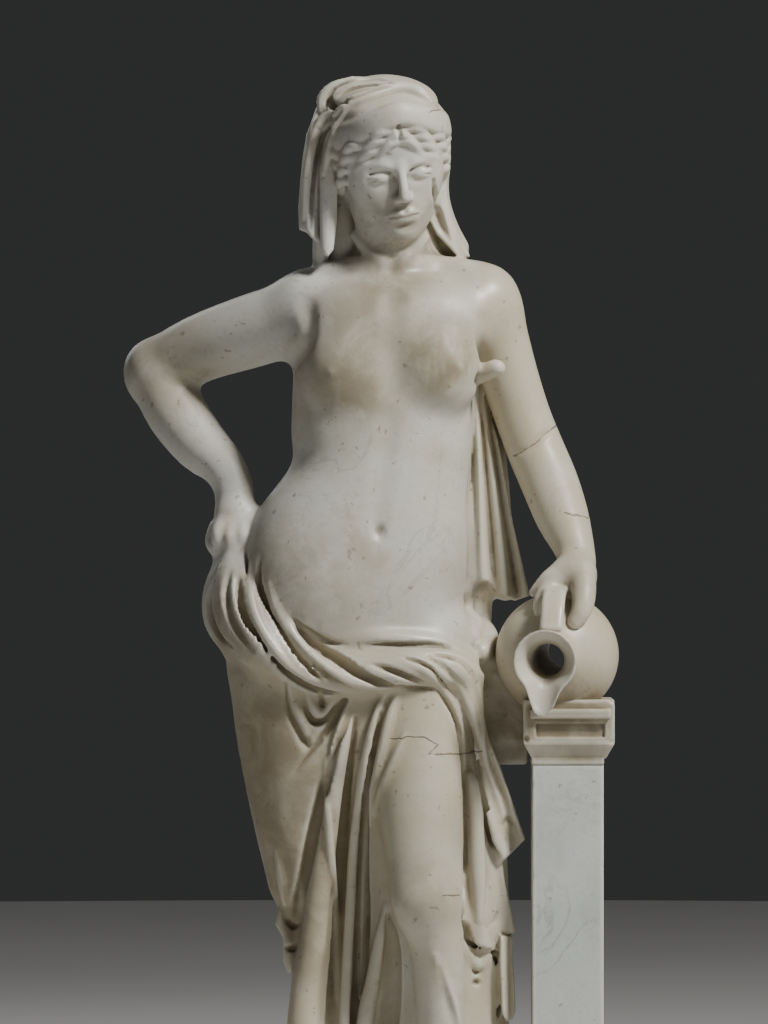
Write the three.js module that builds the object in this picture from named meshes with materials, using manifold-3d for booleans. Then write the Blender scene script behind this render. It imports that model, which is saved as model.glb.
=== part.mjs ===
// A draped woman standing at a pillar, pouring from a jug: one block of carved marble
// with its low base, and the plain upright of the pillar let in beneath the capital.
// Millimetres, +Z up, the front of the statue towards -Y, the base underside at z = 0.
import * as THREE from "three";
import { mergeVertices } from "three/addons/utils/BufferGeometryUtils.js";
import Module from "manifold-3d";

// Driving dimensions.
const BASE_WIDTH = 550;
const BASE_DEPTH = 390;
const BASE_HEIGHT = 90;
const PILLAR_X = 182;
const PILLAR_Y = -40;
const SHAFT_WIDTH = 106;
const SHAFT_DEPTH = 106;
const SHAFT_TOP = 730.7;
const CAPITAL_FOOT = 731;
const CAPITAL_TOP = 827;
const CAPITAL_X = 185;
const CAPITAL_HALF = 66;
const PANEL_WIDTH = 104;
const PANEL_DEPTH = 4;
const PANEL_LOW = 772;
const PANEL_HIGH = 791;
const JOINT_GAP = 0.3;
const JUG_CENTRE = [167, -44, 892];
const JUG_RADIUS = 92;
const JUG_YAW = -9;
const LIP_ANGLE = -94;
const LIP_REACH = 36;
const BORE_RADIUS = 24;
// The room that the clay is worked in, and how finely it is cut into faces.
const ROOM_LOW = [-500, -260, 60];
const ROOM_HIGH = [300, 200, 1790];
const LATTICE = 9;
const HEAD_LEVEL = 1500;
const FOOT_LEVEL = 500;
const FACE_BUDGET = 7300;
const HEAD_CENTRE = [-84, -8, 1630];
const HEAD_TURN = 13;
const HEAD_NOD = 18;
const HEAD_TILT = -8;
const HEAD_SIZE = 1.0;

const FAR = 60;

function blend(a, b, k) {
  if (k <= 0) return Math.min(a, b);
  const h = Math.max(k - Math.abs(a - b), 0) / k;
  return Math.min(a, b) - h * h * k * 0.25;
}

const clamp = (v, lo, hi) => Math.max(lo, Math.min(hi, v));
const rad = (degrees) => (degrees * Math.PI) / 180;

// A smooth run through rows of numbers: every column is interpolated alike.
function smoothRows(rows, steps) {
  const out = [];
  if (rows.length === 2) {
    for (let i = 0; i <= steps; i += 1) {
      out.push(rows[0].map((v, j) => v + ((rows[1][j] - v) * i) / steps));
    }
    return out;
  }
  const last = rows.length - 1;
  const before = rows[0].map((v, j) => 2 * v - rows[1][j]);
  const after = rows[last].map((v, j) => 2 * v - rows[last - 1][j]);
  const all = [before, ...rows, after];
  for (let i = 1; i < all.length - 2; i += 1) {
    for (let s = 0; s < steps; s += 1) {
      const t = s / steps;
      out.push(all[i].map((b, j) => {
        const a = all[i - 1][j];
        const c = all[i + 1][j];
        const d = all[i + 2][j];
        const square = (2 * a - 5 * b + 4 * c - d) * t * t;
        const cube = (3 * b - a - 3 * c + d) * t * t * t;
        return 0.5 * (2 * b + (c - a) * t + square + cube);
      }));
    }
  }
  out.push(rows[last].slice());
  return out;
}

// Rotation as three unit columns: rolled, then nodded, then turned (degrees).
function turnBy(yaw, pitch, roll) {
  const m = new THREE.Matrix4().makeRotationZ(rad(yaw));
  m.multiply(new THREE.Matrix4().makeRotationX(rad(pitch)));
  m.multiply(new THREE.Matrix4().makeRotationY(rad(roll)));
  const e = m.elements;
  return [[e[0], e[1], e[2]], [e[4], e[5], e[6]], [e[8], e[9], e[10]]];
}

const STRAIGHT = [[1, 0, 0], [0, 1, 0], [0, 0, 1]];

// Signed distance to a closed outline of [x, z] points: negative inside.
function insideOutline(outline, x, z) {
  let near = Infinity;
  let side = 1;
  outline.forEach((a, i) => {
    const b = outline[(i + 1) % outline.length];
    const e = [b[0] - a[0], b[1] - a[1]];
    const u = x - a[0];
    const v = z - a[1];
    const t = clamp((u * e[0] + v * e[1]) / (e[0] * e[0] + e[1] * e[1]), 0, 1);
    near = Math.min(near, Math.hypot(u - t * e[0], v - t * e[1]));
    const above = z >= a[1];
    const below = z < b[1];
    const left = e[0] * v > e[1] * u;
    if ((above && below && left) || (!above && !below && !left)) side = -side;
  });
  return side * near;
}

// The block being carved: signed distances to the skin on an even lattice.
class Clay {
  constructor(low, high, step) {
    this.low = low;
    this.step = step;
    this.count = low.map((v, i) => Math.ceil((high[i] - v) / step) + 1);
    this.field = new Float32Array(this.count[0] * this.count[1] * this.count[2]).fill(FAR);
  }

  span(lo, hi) {
    const a = [0, 1, 2].map((i) => Math.max(0, Math.floor((lo[i] - this.low[i]) / this.step)));
    const b = [0, 1, 2].map((i) => {
      return Math.min(this.count[i], Math.ceil((hi[i] - this.low[i]) / this.step) + 1);
    });
    return { a, b, empty: a.some((v, i) => v >= b[i]) };
  }

  margin(k) {
    return k + 3.5 * this.step;
  }

  // Visit every lattice point of a window with its position and index.
  visit(window, action) {
    const { a, b } = window;
    const [nx, ny, nz] = this.count;
    for (let i = a[0]; i < b[0]; i += 1) {
      const x = this.low[0] + i * this.step;
      for (let j = a[1]; j < b[1]; j += 1) {
        const y = this.low[1] + j * this.step;
        const row = (i * ny + j) * nz;
        for (let m = a[2]; m < b[2]; m += 1) {
          action(x, y, this.low[2] + m * this.step, row + m);
        }
      }
    }
  }

  put(index, distance, k, cut) {
    const old = this.field[index];
    this.field[index] = cut ? -blend(-old, distance, k) : blend(old, distance, k);
  }

  // An ellipsoid.
  blob(centre, radii, { k = 12, turn = STRAIGHT, cut = false } = {}) {
    const m = this.margin(k);
    const reach = [0, 1, 2].map((i) => {
      return Math.hypot(turn[0][i] * radii[0], turn[1][i] * radii[1], turn[2][i] * radii[2]) + m;
    });
    const lo = centre.map((v, i) => v - reach[i]);
    const hi = centre.map((v, i) => v + reach[i]);
    const window = this.span(lo, hi);
    if (window.empty) return;
    this.visit(window, (x, y, z, index) => {
      const p = [x - centre[0], y - centre[1], z - centre[2]];
      let near = 0;
      let slope = 0;
      for (let i = 0; i < 3; i += 1) {
        const u = (turn[i][0] * p[0] + turn[i][1] * p[1] + turn[i][2] * p[2]) / radii[i];
        near += u * u;
        slope += (u / radii[i]) * (u / radii[i]);
      }
      near = Math.sqrt(near);
      this.put(index, (near * (near - 1)) / (Math.sqrt(slope) + 1e-9), k, cut);
    });
  }

  // A round bar of changing thickness along a smooth path of rows [x, y, z, radius].
  limb(rows, { k = 10, cut = false, steps = 0, flat = null } = {}) {
    let length = 0;
    let mean = 0;
    rows.forEach((r, i) => {
      mean += r[3] / rows.length;
      if (i > 0) length += Math.hypot(r[0] - rows[i - 1][0], r[1] - rows[i - 1][1], r[2] - rows[i - 1][2]);
    });
    const spans = Math.max(1, rows.length - 1);
    let n = steps || Math.max(2, Math.ceil(length / Math.max(8, 0.7 * mean) / spans));
    if (rows.length === 2) n = flat ? 2 : 1;
    const path = smoothRows(rows, n);
    const m = this.margin(k);
    const lo = [0, 1, 2].map((i) => Math.min(...path.map((p) => p[i] - p[3])) - m);
    const hi = [0, 1, 2].map((i) => Math.max(...path.map((p) => p[i] + p[3])) + m);
    const whole = this.span(lo, hi);
    if (whole.empty) return;
    const size = whole.a.map((v, i) => whole.b[i] - v);
    const best = new Float32Array(size[0] * size[1] * size[2]).fill(FAR);
    let axis = [0, 0, 0];
    let squeeze = 0;
    if (flat) {
      const l = Math.hypot(...flat[0]);
      axis = flat[0].map((v) => v / l);
      squeeze = 1 / flat[1] - 1;
    }
    for (let s = 0; s + 1 < path.length; s += 1) {
      const p = path[s];
      const q = path[s + 1];
      const window = this.span(
        [0, 1, 2].map((i) => Math.min(p[i] - p[3], q[i] - q[3]) - m),
        [0, 1, 2].map((i) => Math.max(p[i] + p[3], q[i] + q[3]) + m),
      );
      if (window.empty) continue;
      let ux = q[0] - p[0];
      let uy = q[1] - p[1];
      let uz = q[2] - p[2];
      const along = (ux * axis[0] + uy * axis[1] + uz * axis[2]) * squeeze;
      ux += along * axis[0];
      uy += along * axis[1];
      uz += along * axis[2];
      const square = ux * ux + uy * uy + uz * uz + 1e-9;
      for (let i = window.a[0]; i < window.b[0]; i += 1) {
        for (let j = window.a[1]; j < window.b[1]; j += 1) {
          const row = ((i - whole.a[0]) * size[1] + (j - whole.a[1])) * size[2] - whole.a[2];
          for (let h = window.a[2]; h < window.b[2]; h += 1) {
            let x = this.low[0] + i * this.step - p[0];
            let y = this.low[1] + j * this.step - p[1];
            let z = this.low[2] + h * this.step - p[2];
            if (squeeze) {
              const w = (x * axis[0] + y * axis[1] + z * axis[2]) * squeeze;
              x += w * axis[0];
              y += w * axis[1];
              z += w * axis[2];
            }
            const t = clamp((x * ux + y * uy + z * uz) / square, 0, 1);
            const d = Math.hypot(x - t * ux, y - t * uy, z - t * uz) - (p[3] + t * (q[3] - p[3]));
            if (d < best[row + h]) best[row + h] = d;
          }
        }
      }
    }
    let at = 0;
    this.visit(whole, (x, y, z, index) => {
      this.put(index, best[at], k, cut);
      at += 1;
    });
  }

  // Hanging cloth, cut to an outline of [x, z] seen from the front; depth(x, z) gives its middle.
  panel(outline, depth, { half = 10, k = 6, r = 4 } = {}) {
    const m = this.margin(k);
    const xs = outline.map((p) => p[0]);
    const zs = outline.map((p) => p[1]);
    const window = this.span(
      [Math.min(...xs) - m, -150, Math.min(...zs) - m],
      [Math.max(...xs) + m, 110, Math.max(...zs) + m],
    );
    if (window.empty) return;
    const known = new Map();
    this.visit(window, (x, y, z, index) => {
      const key = `${x},${z}`;
      if (!known.has(key)) known.set(key, [insideOutline(outline, x, z), depth(x, z)]);
      const [flat, middle] = known.get(key);
      this.put(index, -blend(-flat, half - Math.abs(y - middle), r), k, false);
    });
  }

  // A block with rounded edges.
  box(centre, half, { r = 4, k = 4, cut = false } = {}) {
    const m = this.margin(k);
    const window = this.span(centre.map((v, i) => v - half[i] - m), centre.map((v, i) => v + half[i] + m));
    this.visit(window, (x, y, z, index) => {
      const q = [x - centre[0], y - centre[1], z - centre[2]].map((v, i) => Math.abs(v) - half[i] + r);
      const out = Math.hypot(...q.map((v) => Math.max(v, 0)));
      this.put(index, out + Math.min(Math.max(...q), 0) - r, k, cut);
    });
  }

  // A standing mass from rows [z, cx, cy, half width, half depth front, half depth back, power].
  column(rows, { k = 15, cap = 10, fold = null } = {}) {
    const path = smoothRows(rows, 8);
    const bottom = rows[0][0];
    const top = rows[rows.length - 1][0];
    const m = this.margin(k) + (fold ? 40 : 0);
    const left = Math.min(...path.map((p) => p[1] - p[3]));
    const right = Math.max(...path.map((p) => p[1] + p[3]));
    const ahead = Math.min(...path.map((p) => p[2] - p[4]));
    const behind = Math.max(...path.map((p) => p[2] + p[5]));
    const window = this.span([left - m, ahead - m, bottom - m], [right + m, behind + m, top + m]);
    const levels = [];
    for (let h = window.a[2]; h < window.b[2]; h += 1) {
      const z = clamp(this.low[2] + h * this.step, bottom, top);
      let i = 0;
      while (i < path.length - 2 && path[i + 1][0] < z) i += 1;
      const t = clamp((z - path[i][0]) / (path[i + 1][0] - path[i][0]), 0, 1);
      levels[h] = path[i].map((v, j) => v + (path[i + 1][j] - v) * t);
    }
    this.visit(window, (x, y, z, index) => {
      const [, cx, cy, half, front, back, power] = levels[index % this.count[2]];
      const dx = x - cx;
      const dy = y - cy;
      const deep = dy < 0 ? front : back;
      const rho = (Math.abs(dx / half) ** power + Math.abs(dy / deep) ** power) ** (1 / power);
      let d = rho < 1e-3 ? -Math.min(half, deep) : Math.hypot(dx, dy) * (1 - 1 / rho);
      if (fold) d -= fold(Math.atan2(dx, -dy), z);
      d = -blend(-d, -Math.max(z - top, bottom - z), cap);
      this.put(index, d, k, false);
    });
  }

  // Distance at any point.
  sample(x, y, z) {
    const g = [x, y, z].map((v, i) => clamp((v - this.low[i]) / this.step, 0, this.count[i] - 1.001));
    const [i, j, h] = g.map(Math.floor);
    const [u, v, w] = [g[0] - i, g[1] - j, g[2] - h];
    const nz = this.count[2];
    const ny = this.count[1];
    const f = this.field;
    const at = (i * ny + j) * nz + h;
    const side = ny * nz;
    const between = (p) => f[p] * (1 - w) + f[p + 1] * w;
    const across = (p) => between(p) * (1 - v) + between(p + nz) * v;
    return across(at) * (1 - u) + across(at + side) * u;
  }

  // How far from a start point, along a direction, the skin is first met.
  touch(start, way, reach = 560) {
    const pace = this.step * 0.6;
    let before = this.sample(...start);
    if (before < 0) return null;
    for (let t = pace; t <= reach; t += pace) {
      const now = this.sample(start[0] + way[0] * t, start[1] + way[1] * t, start[2] + way[2] * t);
      if (now < 0) return t - pace + (pace * before) / (before - now);
      before = now;
    }
    return null;
  }

  // A ridge or groove lying on the skin, rows [x, z, radius, height or depth].
  stroke(rows, { k = 6, cut = false, side = "front" } = {}) {
    let length = 0;
    rows.forEach((r, i) => {
      if (i > 0) length += Math.hypot(r[0] - rows[i - 1][0], r[1] - rows[i - 1][1]);
    });
    const path = smoothRows(rows, Math.max(2, Math.ceil(length / 9 / (rows.length - 1))));
    const from = side === "front" ? -290 : 290;
    const way = [0, -Math.sign(from), 0];
    let depth = path.map((p) => this.touch([p[0], from, p[1]], way));
    if (depth.every((d) => d === null)) return;
    depth = depth.map((d, i) => {
      if (d !== null) return d;
      for (let s = 1; s < depth.length; s += 1) {
        if (depth[i - s] != null) return depth[i - s];
        if (depth[i + s] != null) return depth[i + s];
      }
      return 0;
    });
    for (let pass = 0; pass < 2; pass += 1) {
      depth = depth.map((d, i) => {
        const a = depth[Math.max(0, i - 1)];
        const b = depth[Math.min(depth.length - 1, i + 1)];
        return (a + 2 * d + b) / 4;
      });
    }
    const bar = path.map((p, i) => {
      const off = cut ? p[3] - p[2] : p[2] - p[3];
      return [p[0], from + way[1] * (depth[i] + off), p[1], Math.max(p[2], 0.5)];
    });
    this.limb(bar, { k, cut, steps: 1 });
  }
}

// The skin of the clay as a closed mesh: every lattice cube in six tetrahedra.
function skinOf(clay) {
  const [nx, ny, nz] = clay.count;
  const f = clay.field;
  const hop = [];
  for (let mask = 0; mask < 8; mask += 1) {
    hop.push((mask & 1) * ny * nz + ((mask >> 1) & 1) * nz + ((mask >> 2) & 1));
  }
  const tetras = [[1, 3], [1, 5], [2, 3], [2, 6], [4, 5], [4, 6]].map(([a, b]) => [0, a, b, 7]);
  const seen = new Map();
  const points = [];
  const faces = [];
  const corner = (base, mask) => {
    const g = base + hop[mask];
    const h = g % nz;
    const j = Math.floor(g / nz) % ny;
    const i = Math.floor(g / (ny * nz));
    return [clay.low[0] + i * clay.step, clay.low[1] + j * clay.step, clay.low[2] + h * clay.step];
  };
  const crossing = (base, a, b) => {
    const from = base + hop[a & b];
    const key = from * 8 + (a ^ b);
    let id = seen.get(key);
    if (id === undefined) {
      const p = corner(base, a);
      const q = corner(base, b);
      const fa = f[base + hop[a]];
      const fb = f[base + hop[b]];
      const t = clamp(fa / (fa - fb), 0.04, 0.96);
      id = points.length;
      points.push([p[0] + (q[0] - p[0]) * t, p[1] + (q[1] - p[1]) * t, p[2] + (q[2] - p[2]) * t]);
      seen.set(key, id);
    }
    return id;
  };
  const addFace = (a, b, c, out) => {
    const [p, q, r] = [points[a], points[b], points[c]];
    const u = [q[0] - p[0], q[1] - p[1], q[2] - p[2]];
    const v = [r[0] - p[0], r[1] - p[1], r[2] - p[2]];
    const n = [u[1] * v[2] - u[2] * v[1], u[2] * v[0] - u[0] * v[2], u[0] * v[1] - u[1] * v[0]];
    if (n[0] * out[0] + n[1] * out[1] + n[2] * out[2] >= 0) faces.push([a, b, c]);
    else faces.push([a, c, b]);
  };
  for (let i = 0; i + 1 < nx; i += 1) {
    for (let j = 0; j + 1 < ny; j += 1) {
      for (let h = 0; h + 1 < nz; h += 1) {
        const base = (i * ny + j) * nz + h;
        let inside = 0;
        for (let mask = 0; mask < 8; mask += 1) if (f[base + hop[mask]] < 0) inside += 1;
        if (inside === 0 || inside === 8) continue;
        for (const tetra of tetras) {
          const solid = tetra.filter((m) => f[base + hop[m]] < 0);
          if (solid.length === 0 || solid.length === 4) continue;
          const air = tetra.filter((m) => f[base + hop[m]] >= 0);
          const out = [0, 0, 0];
          for (const m of air) corner(base, m).forEach((v, q) => { out[q] += v / air.length; });
          for (const m of solid) corner(base, m).forEach((v, q) => { out[q] -= v / solid.length; });
          if (solid.length === 1) {
            addFace(...air.map((m) => crossing(base, solid[0], m)), out);
          } else if (solid.length === 3) {
            addFace(...solid.map((m) => crossing(base, m, air[0])), out);
          } else {
            const a = crossing(base, solid[0], air[0]);
            const b = crossing(base, solid[0], air[1]);
            const c = crossing(base, solid[1], air[1]);
            const d = crossing(base, solid[1], air[0]);
            addFace(a, b, c, out);
            addFace(a, c, d, out);
          }
        }
      }
    }
  }
  return largestShell(points, faces);
}

// Only the one outer skin is kept: loose crumbs and closed pockets go.
function largestShell(points, faces) {
  const parent = points.map((p, i) => i);
  const root = (i) => {
    let r = i;
    while (parent[r] !== r) r = parent[r];
    while (parent[i] !== r) [parent[i], i] = [r, parent[i]];
    return r;
  };
  for (const [a, b, c] of faces) {
    parent[root(a)] = root(b);
    parent[root(b)] = root(c);
  }
  const tally = new Map();
  for (const [a] of faces) tally.set(root(a), (tally.get(root(a)) || 0) + 1);
  const main = [...tally.entries()].sort((p, q) => q[1] - p[1])[0][0];
  const renamed = new Map();
  const kept = [];
  const faceList = faces.filter(([a]) => root(a) === main).map((face) => face.map((w) => {
    if (!renamed.has(w)) {
      renamed.set(w, kept.length);
      kept.push(points[w]);
    }
    return renamed.get(w);
  }));
  return { points: kept, faces: faceList };
}

// Even out the spacing of the corners, then set each back on the skin.
function relax(clay, skin, passes) {
  const { points, faces } = skin;
  const ring = points.map(() => []);
  for (const [a, b, c] of faces) {
    ring[a].push(b);
    ring[b].push(c);
    ring[c].push(a);
  }
  const e = clay.step * 0.25;
  for (let pass = 0; pass < passes; pass += 1) {
    const moved = points.map((p, i) => {
      const sum = [0, 0, 0];
      for (const w of ring[i]) for (let q = 0; q < 3; q += 1) sum[q] += points[w][q];
      return p.map((v, q) => v + 0.6 * (sum[q] / ring[i].length - v));
    });
    moved.forEach((p, i) => {
      const d = clay.sample(...p);
      const g = [
        clay.sample(p[0] + e, p[1], p[2]) - clay.sample(p[0] - e, p[1], p[2]),
        clay.sample(p[0], p[1] + e, p[2]) - clay.sample(p[0], p[1] - e, p[2]),
        clay.sample(p[0], p[1], p[2] + e) - clay.sample(p[0], p[1], p[2] - e),
      ].map((v) => v / (2 * e));
      const slope = Math.max(0.3, g[0] * g[0] + g[1] * g[1] + g[2] * g[2]);
      const hop = clamp(d / slope, -0.4 * clay.step, 0.4 * clay.step);
      points[i] = p.map((v, q) => v - hop * g[q]);
    });
  }
}

// Fewer, larger faces: the cheapest edges are closed up first, flat places most of all.
function thinOut(skin, target, care) {
  const P = skin.points;
  const F = skin.faces;
  const n = P.length;
  const Q = new Float64Array(n * 10);
  const around = Array.from({ length: n }, () => new Set());
  const alive = new Uint8Array(F.length).fill(1);
  const stamp = new Uint32Array(n);
  F.forEach(([a, b, c], id) => {
    const [p, q, r] = [P[a], P[b], P[c]];
    const u = [q[0] - p[0], q[1] - p[1], q[2] - p[2]];
    const v = [r[0] - p[0], r[1] - p[1], r[2] - p[2]];
    const m = [u[1] * v[2] - u[2] * v[1], u[2] * v[0] - u[0] * v[2], u[0] * v[1] - u[1] * v[0]];
    const l = Math.hypot(...m) + 1e-12;
    const [x, y, z] = m.map((w) => w / l);
    const d = -(x * p[0] + y * p[1] + z * p[2]);
    const area = (l / 2) * care(p[0], p[1], p[2]);
    const terms = [x * x, x * y, x * z, x * d, y * y, y * z, y * d, z * z, z * d, d * d];
    for (const w of [a, b, c]) {
      around[w].add(id);
      for (let i = 0; i < 10; i += 1) Q[w * 10 + i] += terms[i] * area;
    }
  });
  const heap = [];
  const swap = (i, j) => { const t = heap[i]; heap[i] = heap[j]; heap[j] = t; };
  const push = (item) => {
    heap.push(item);
    let i = heap.length - 1;
    while (i > 0) {
      const up = (i - 1) >> 1;
      if (heap[up].cost <= heap[i].cost) break;
      swap(i, up);
      i = up;
    }
  };
  const pop = () => {
    const top = heap[0];
    const end = heap.pop();
    if (heap.length > 0) {
      heap[0] = end;
      let i = 0;
      for (;;) {
        let least = i;
        if (2 * i + 1 < heap.length && heap[2 * i + 1].cost < heap[least].cost) least = 2 * i + 1;
        if (2 * i + 2 < heap.length && heap[2 * i + 2].cost < heap[least].cost) least = 2 * i + 2;
        if (least === i) break;
        swap(i, least);
        i = least;
      }
    }
    return top;
  };
  const costAt = (q, x, y, z) => q[0] * x * x + 2 * q[1] * x * y + 2 * q[2] * x * z + 2 * q[3] * x
    + q[4] * y * y + 2 * q[5] * y * z + 2 * q[6] * y + q[7] * z * z + 2 * q[8] * z + q[9];
  const plan = (a, b) => {
    const q = [];
    for (let i = 0; i < 10; i += 1) q.push(Q[a * 10 + i] + Q[b * 10 + i]);
    const [p, r] = [P[a], P[b]];
    const middle = [(p[0] + r[0]) / 2, (p[1] + r[1]) / 2, (p[2] + r[2]) / 2];
    const edge = Math.hypot(p[0] - r[0], p[1] - r[1], p[2] - r[2]);
    const choices = [p, r, middle];
    const det = q[0] * (q[4] * q[7] - q[5] * q[5]) - q[1] * (q[1] * q[7] - q[5] * q[2])
      + q[2] * (q[1] * q[5] - q[4] * q[2]);
    const size = (q[0] + q[4] + q[7]) / 3;
    if (Math.abs(det) > 1e-4 * size * size * size) {
      const x = -(q[3] * (q[4] * q[7] - q[5] * q[5]) - q[1] * (q[6] * q[7] - q[5] * q[8])
        + q[2] * (q[6] * q[5] - q[4] * q[8])) / det;
      const y = -(q[0] * (q[6] * q[7] - q[5] * q[8]) - q[3] * (q[1] * q[7] - q[5] * q[2])
        + q[2] * (q[1] * q[8] - q[6] * q[2])) / det;
      const z = -(q[0] * (q[4] * q[8] - q[6] * q[5]) - q[1] * (q[1] * q[8] - q[6] * q[2])
        + q[3] * (q[1] * q[5] - q[4] * q[2])) / det;
      if (Math.hypot(x - middle[0], y - middle[1], z - middle[2]) < edge) choices.push([x, y, z]);
    }
    let best = null;
    for (const spot of choices) {
      const cost = costAt(q, ...spot) + 1e-3 * edge * edge;
      if (best === null || cost < best.cost) best = { cost, spot };
    }
    return { a, b, cost: best.cost, spot: best.spot, sa: stamp[a], sb: stamp[b] };
  };
  const neighbours = (a) => {
    const out = new Set();
    for (const id of around[a]) for (const w of F[id]) if (w !== a) out.add(w);
    return out;
  };
  const planAll = () => {
    F.forEach(([a, b, c], id) => {
      if (!alive[id]) return;
      for (const [u, v] of [[a, b], [b, c], [c, a]]) if (u < v) push(plan(u, v));
    });
  };
  const shapeOf = ([p, q, r]) => {
    const u = [q[0] - p[0], q[1] - p[1], q[2] - p[2]];
    const v = [r[0] - p[0], r[1] - p[1], r[2] - p[2]];
    const w = [r[0] - q[0], r[1] - q[1], r[2] - q[2]];
    const m = [u[1] * v[2] - u[2] * v[1], u[2] * v[0] - u[0] * v[2], u[0] * v[1] - u[1] * v[0]];
    const square = (e) => e[0] * e[0] + e[1] * e[1] + e[2] * e[2];
    const area = Math.sqrt(square(m)) + 1e-12;
    return { m, area, fine: area / (Math.max(square(u), square(v), square(w)) + 1e-12) };
  };
  let leastTurn = 0.3;
  // A face may not flip over or grow into a splinter when one of its corners moves.
  const turnsOver = (centre, other, spot) => {
    const shapes = [];
    const mean = [0, 0, 0];
    for (const id of around[centre]) {
      const old = shapeOf(F[id].map((w) => P[w]));
      for (let i = 0; i < 3; i += 1) mean[i] += old.m[i];
      if (!F[id].includes(other)) shapes.push([id, old]);
    }
    const size = Math.hypot(...mean) + 1e-12;
    for (const [id, old] of shapes) {
      const now = shapeOf(F[id].map((w) => (w === centre ? spot : P[w])));
      const dot = (m, length) => (m[0] * now.m[0] + m[1] * now.m[1] + m[2] * now.m[2]) / (length * now.area);
      if (old.fine > 0.1 && dot(old.m, old.area) < leastTurn) return true;
      if (old.fine <= 0.1 && dot(mean, size) < 0) return true;
      if (now.fine < 0.08 && now.fine < old.fine) return true;
    }
    return false;
  };
  let left = F.length;
  let limit = 0.5;
  while (left > target && limit < 1e6) {
    if (heap.length === 0 || heap[0].cost > limit) {
      heap.length = 0;
      limit *= 1.7;
      planAll();
      if (heap[0].cost > limit) continue;
    }
    const item = pop();
    const { a, b, spot } = item;
    if (around[a].size === 0 || around[b].size === 0) continue;
    if (item.sa !== stamp[a] || item.sb !== stamp[b]) continue;
    const na = neighbours(a);
    const nb = neighbours(b);
    let shared = 0;
    for (const w of na) if (nb.has(w)) shared += 1;
    if (shared !== 2 || na.size + nb.size < 7 || na.size + nb.size > 24) continue;
    if (turnsOver(a, b, spot) || turnsOver(b, a, spot)) continue;
    for (const id of [...around[b]]) {
      const face = F[id];
      if (face.includes(a)) {
        for (const w of face) around[w].delete(id);
        alive[id] = 0;
        left -= 1;
      } else {
        F[id] = face.map((w) => (w === b ? a : w));
        around[a].add(id);
      }
    }
    around[b].clear();
    P[a] = spot;
    for (let i = 0; i < 10; i += 1) Q[a * 10 + i] += Q[b * 10 + i];
    stamp[a] += 1;
    stamp[b] += 1;
    for (const w of neighbours(a)) push(plan(a, w));
  }
  return { points: P, faces: F.filter((face, id) => alive[id]) };
}

// A fold along rows [x, z] or [x, z, size]: full in the middle, dying out at the ends.
function line(clay, path, radius, lift, cut, { k = 6, ends = [0.35, 0.35], side = "front" } = {}) {
  const rows = path.map(([x, z, size = 1], i) => {
    let full = 1;
    if (i === 0) full = ends[0];
    if (i === path.length - 1) full = ends[1];
    return [x, z, radius * size * (0.45 + 0.55 * full), lift * size * full];
  });
  clay.stroke(rows, { k, cut, side });
}

const ridge = (clay, path, radius, lift, options) => line(clay, path, radius, lift, false, options);
const groove = (clay, path, radius, lift, options) => {
  line(clay, path, radius, lift, true, { k: 5, ...options });
};

// The head has its own frame: -y is the way it looks, z runs from chin to crown.
const HEAD_FRAME = turnBy(HEAD_TURN, HEAD_NOD, HEAD_TILT);

function place([x, y, z, radius]) {
  const spot = HEAD_CENTRE.map((v, i) => {
    return v + HEAD_SIZE * (HEAD_FRAME[0][i] * x + HEAD_FRAME[1][i] * y + HEAD_FRAME[2][i] * z);
  });
  return radius === undefined ? spot : [...spot, radius * HEAD_SIZE];
}

function headBlob(clay, centre, radii, { k = 6, cut = false } = {}) {
  clay.blob(place(centre), radii.map((r) => r * HEAD_SIZE), { k, cut, turn: HEAD_FRAME });
}

function headLimb(clay, rows, { k = 4, cut = false } = {}) {
  clay.limb(rows.map(place), { k, cut });
}

function torso(clay) {
  clay.column([ [840, -118, 4, 150, 108, 118, 2.2], [900, -132, 4, 158, 110, 122, 2.2],
    [960, -137, 4, 160, 114, 124, 2.2], [1010, -136, 5, 159, 117, 122, 2.2],
    [1048, -134, 6, 157, 117, 116, 2.2], [1108, -121, 6, 149, 113, 102, 2.2],
    [1176, -97, 6, 134, 109, 92, 2.25], [1228, -94.5, 6, 136, 106, 92, 2.3],
    [1303, -93, 6, 135, 104, 98, 2.4], [1363, -92, 8, 133, 100, 102, 2.4],
    [1410, -84, 12, 124, 82, 98, 2.3], [1446, -80, 16, 100, 60, 82, 2.1],
    [1474, -80, 20, 58, 32, 58, 2.0]], { k: 10, cap: 34 });
  clay.blob([-190, 18, 1404], [64, 58, 60], { k: 46 });
  clay.blob([42, 16, 1412], [64, 58, 62], { k: 46 });
  clay.limb([[-205, 22, 1420, 42], [-140, 26, 1452, 32], [-108, 28, 1470, 28]], { k: 30 });
  clay.limb([[60, 22, 1432, 40], [5, 26, 1456, 32], [-52, 28, 1470, 28]], { k: 30 });
  clay.limb([[-79, 18, 1446, 58], [-80, 14, 1486, 53], [-83, 6, 1526, 51], [-87, -4, 1572, 51]],
    { k: 24 });
  // Breasts, belly, mound, hip.
  clay.blob([-122, -40, 1376], [86, 48, 70], { k: 36 });
  clay.blob([-32, -40, 1380], [86, 48, 70], { k: 36 });
  clay.blob([-138, -58, 1312], [70, 52, 70], { k: 18 });
  clay.blob([-14, -58, 1314], [66, 52, 70], { k: 18 });
  clay.blob([-112, -30, 1046], [124, 71, 120], { k: 66 });
  clay.blob([-206, -10, 1000], [76, 88, 96], { k: 90 });
}

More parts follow.
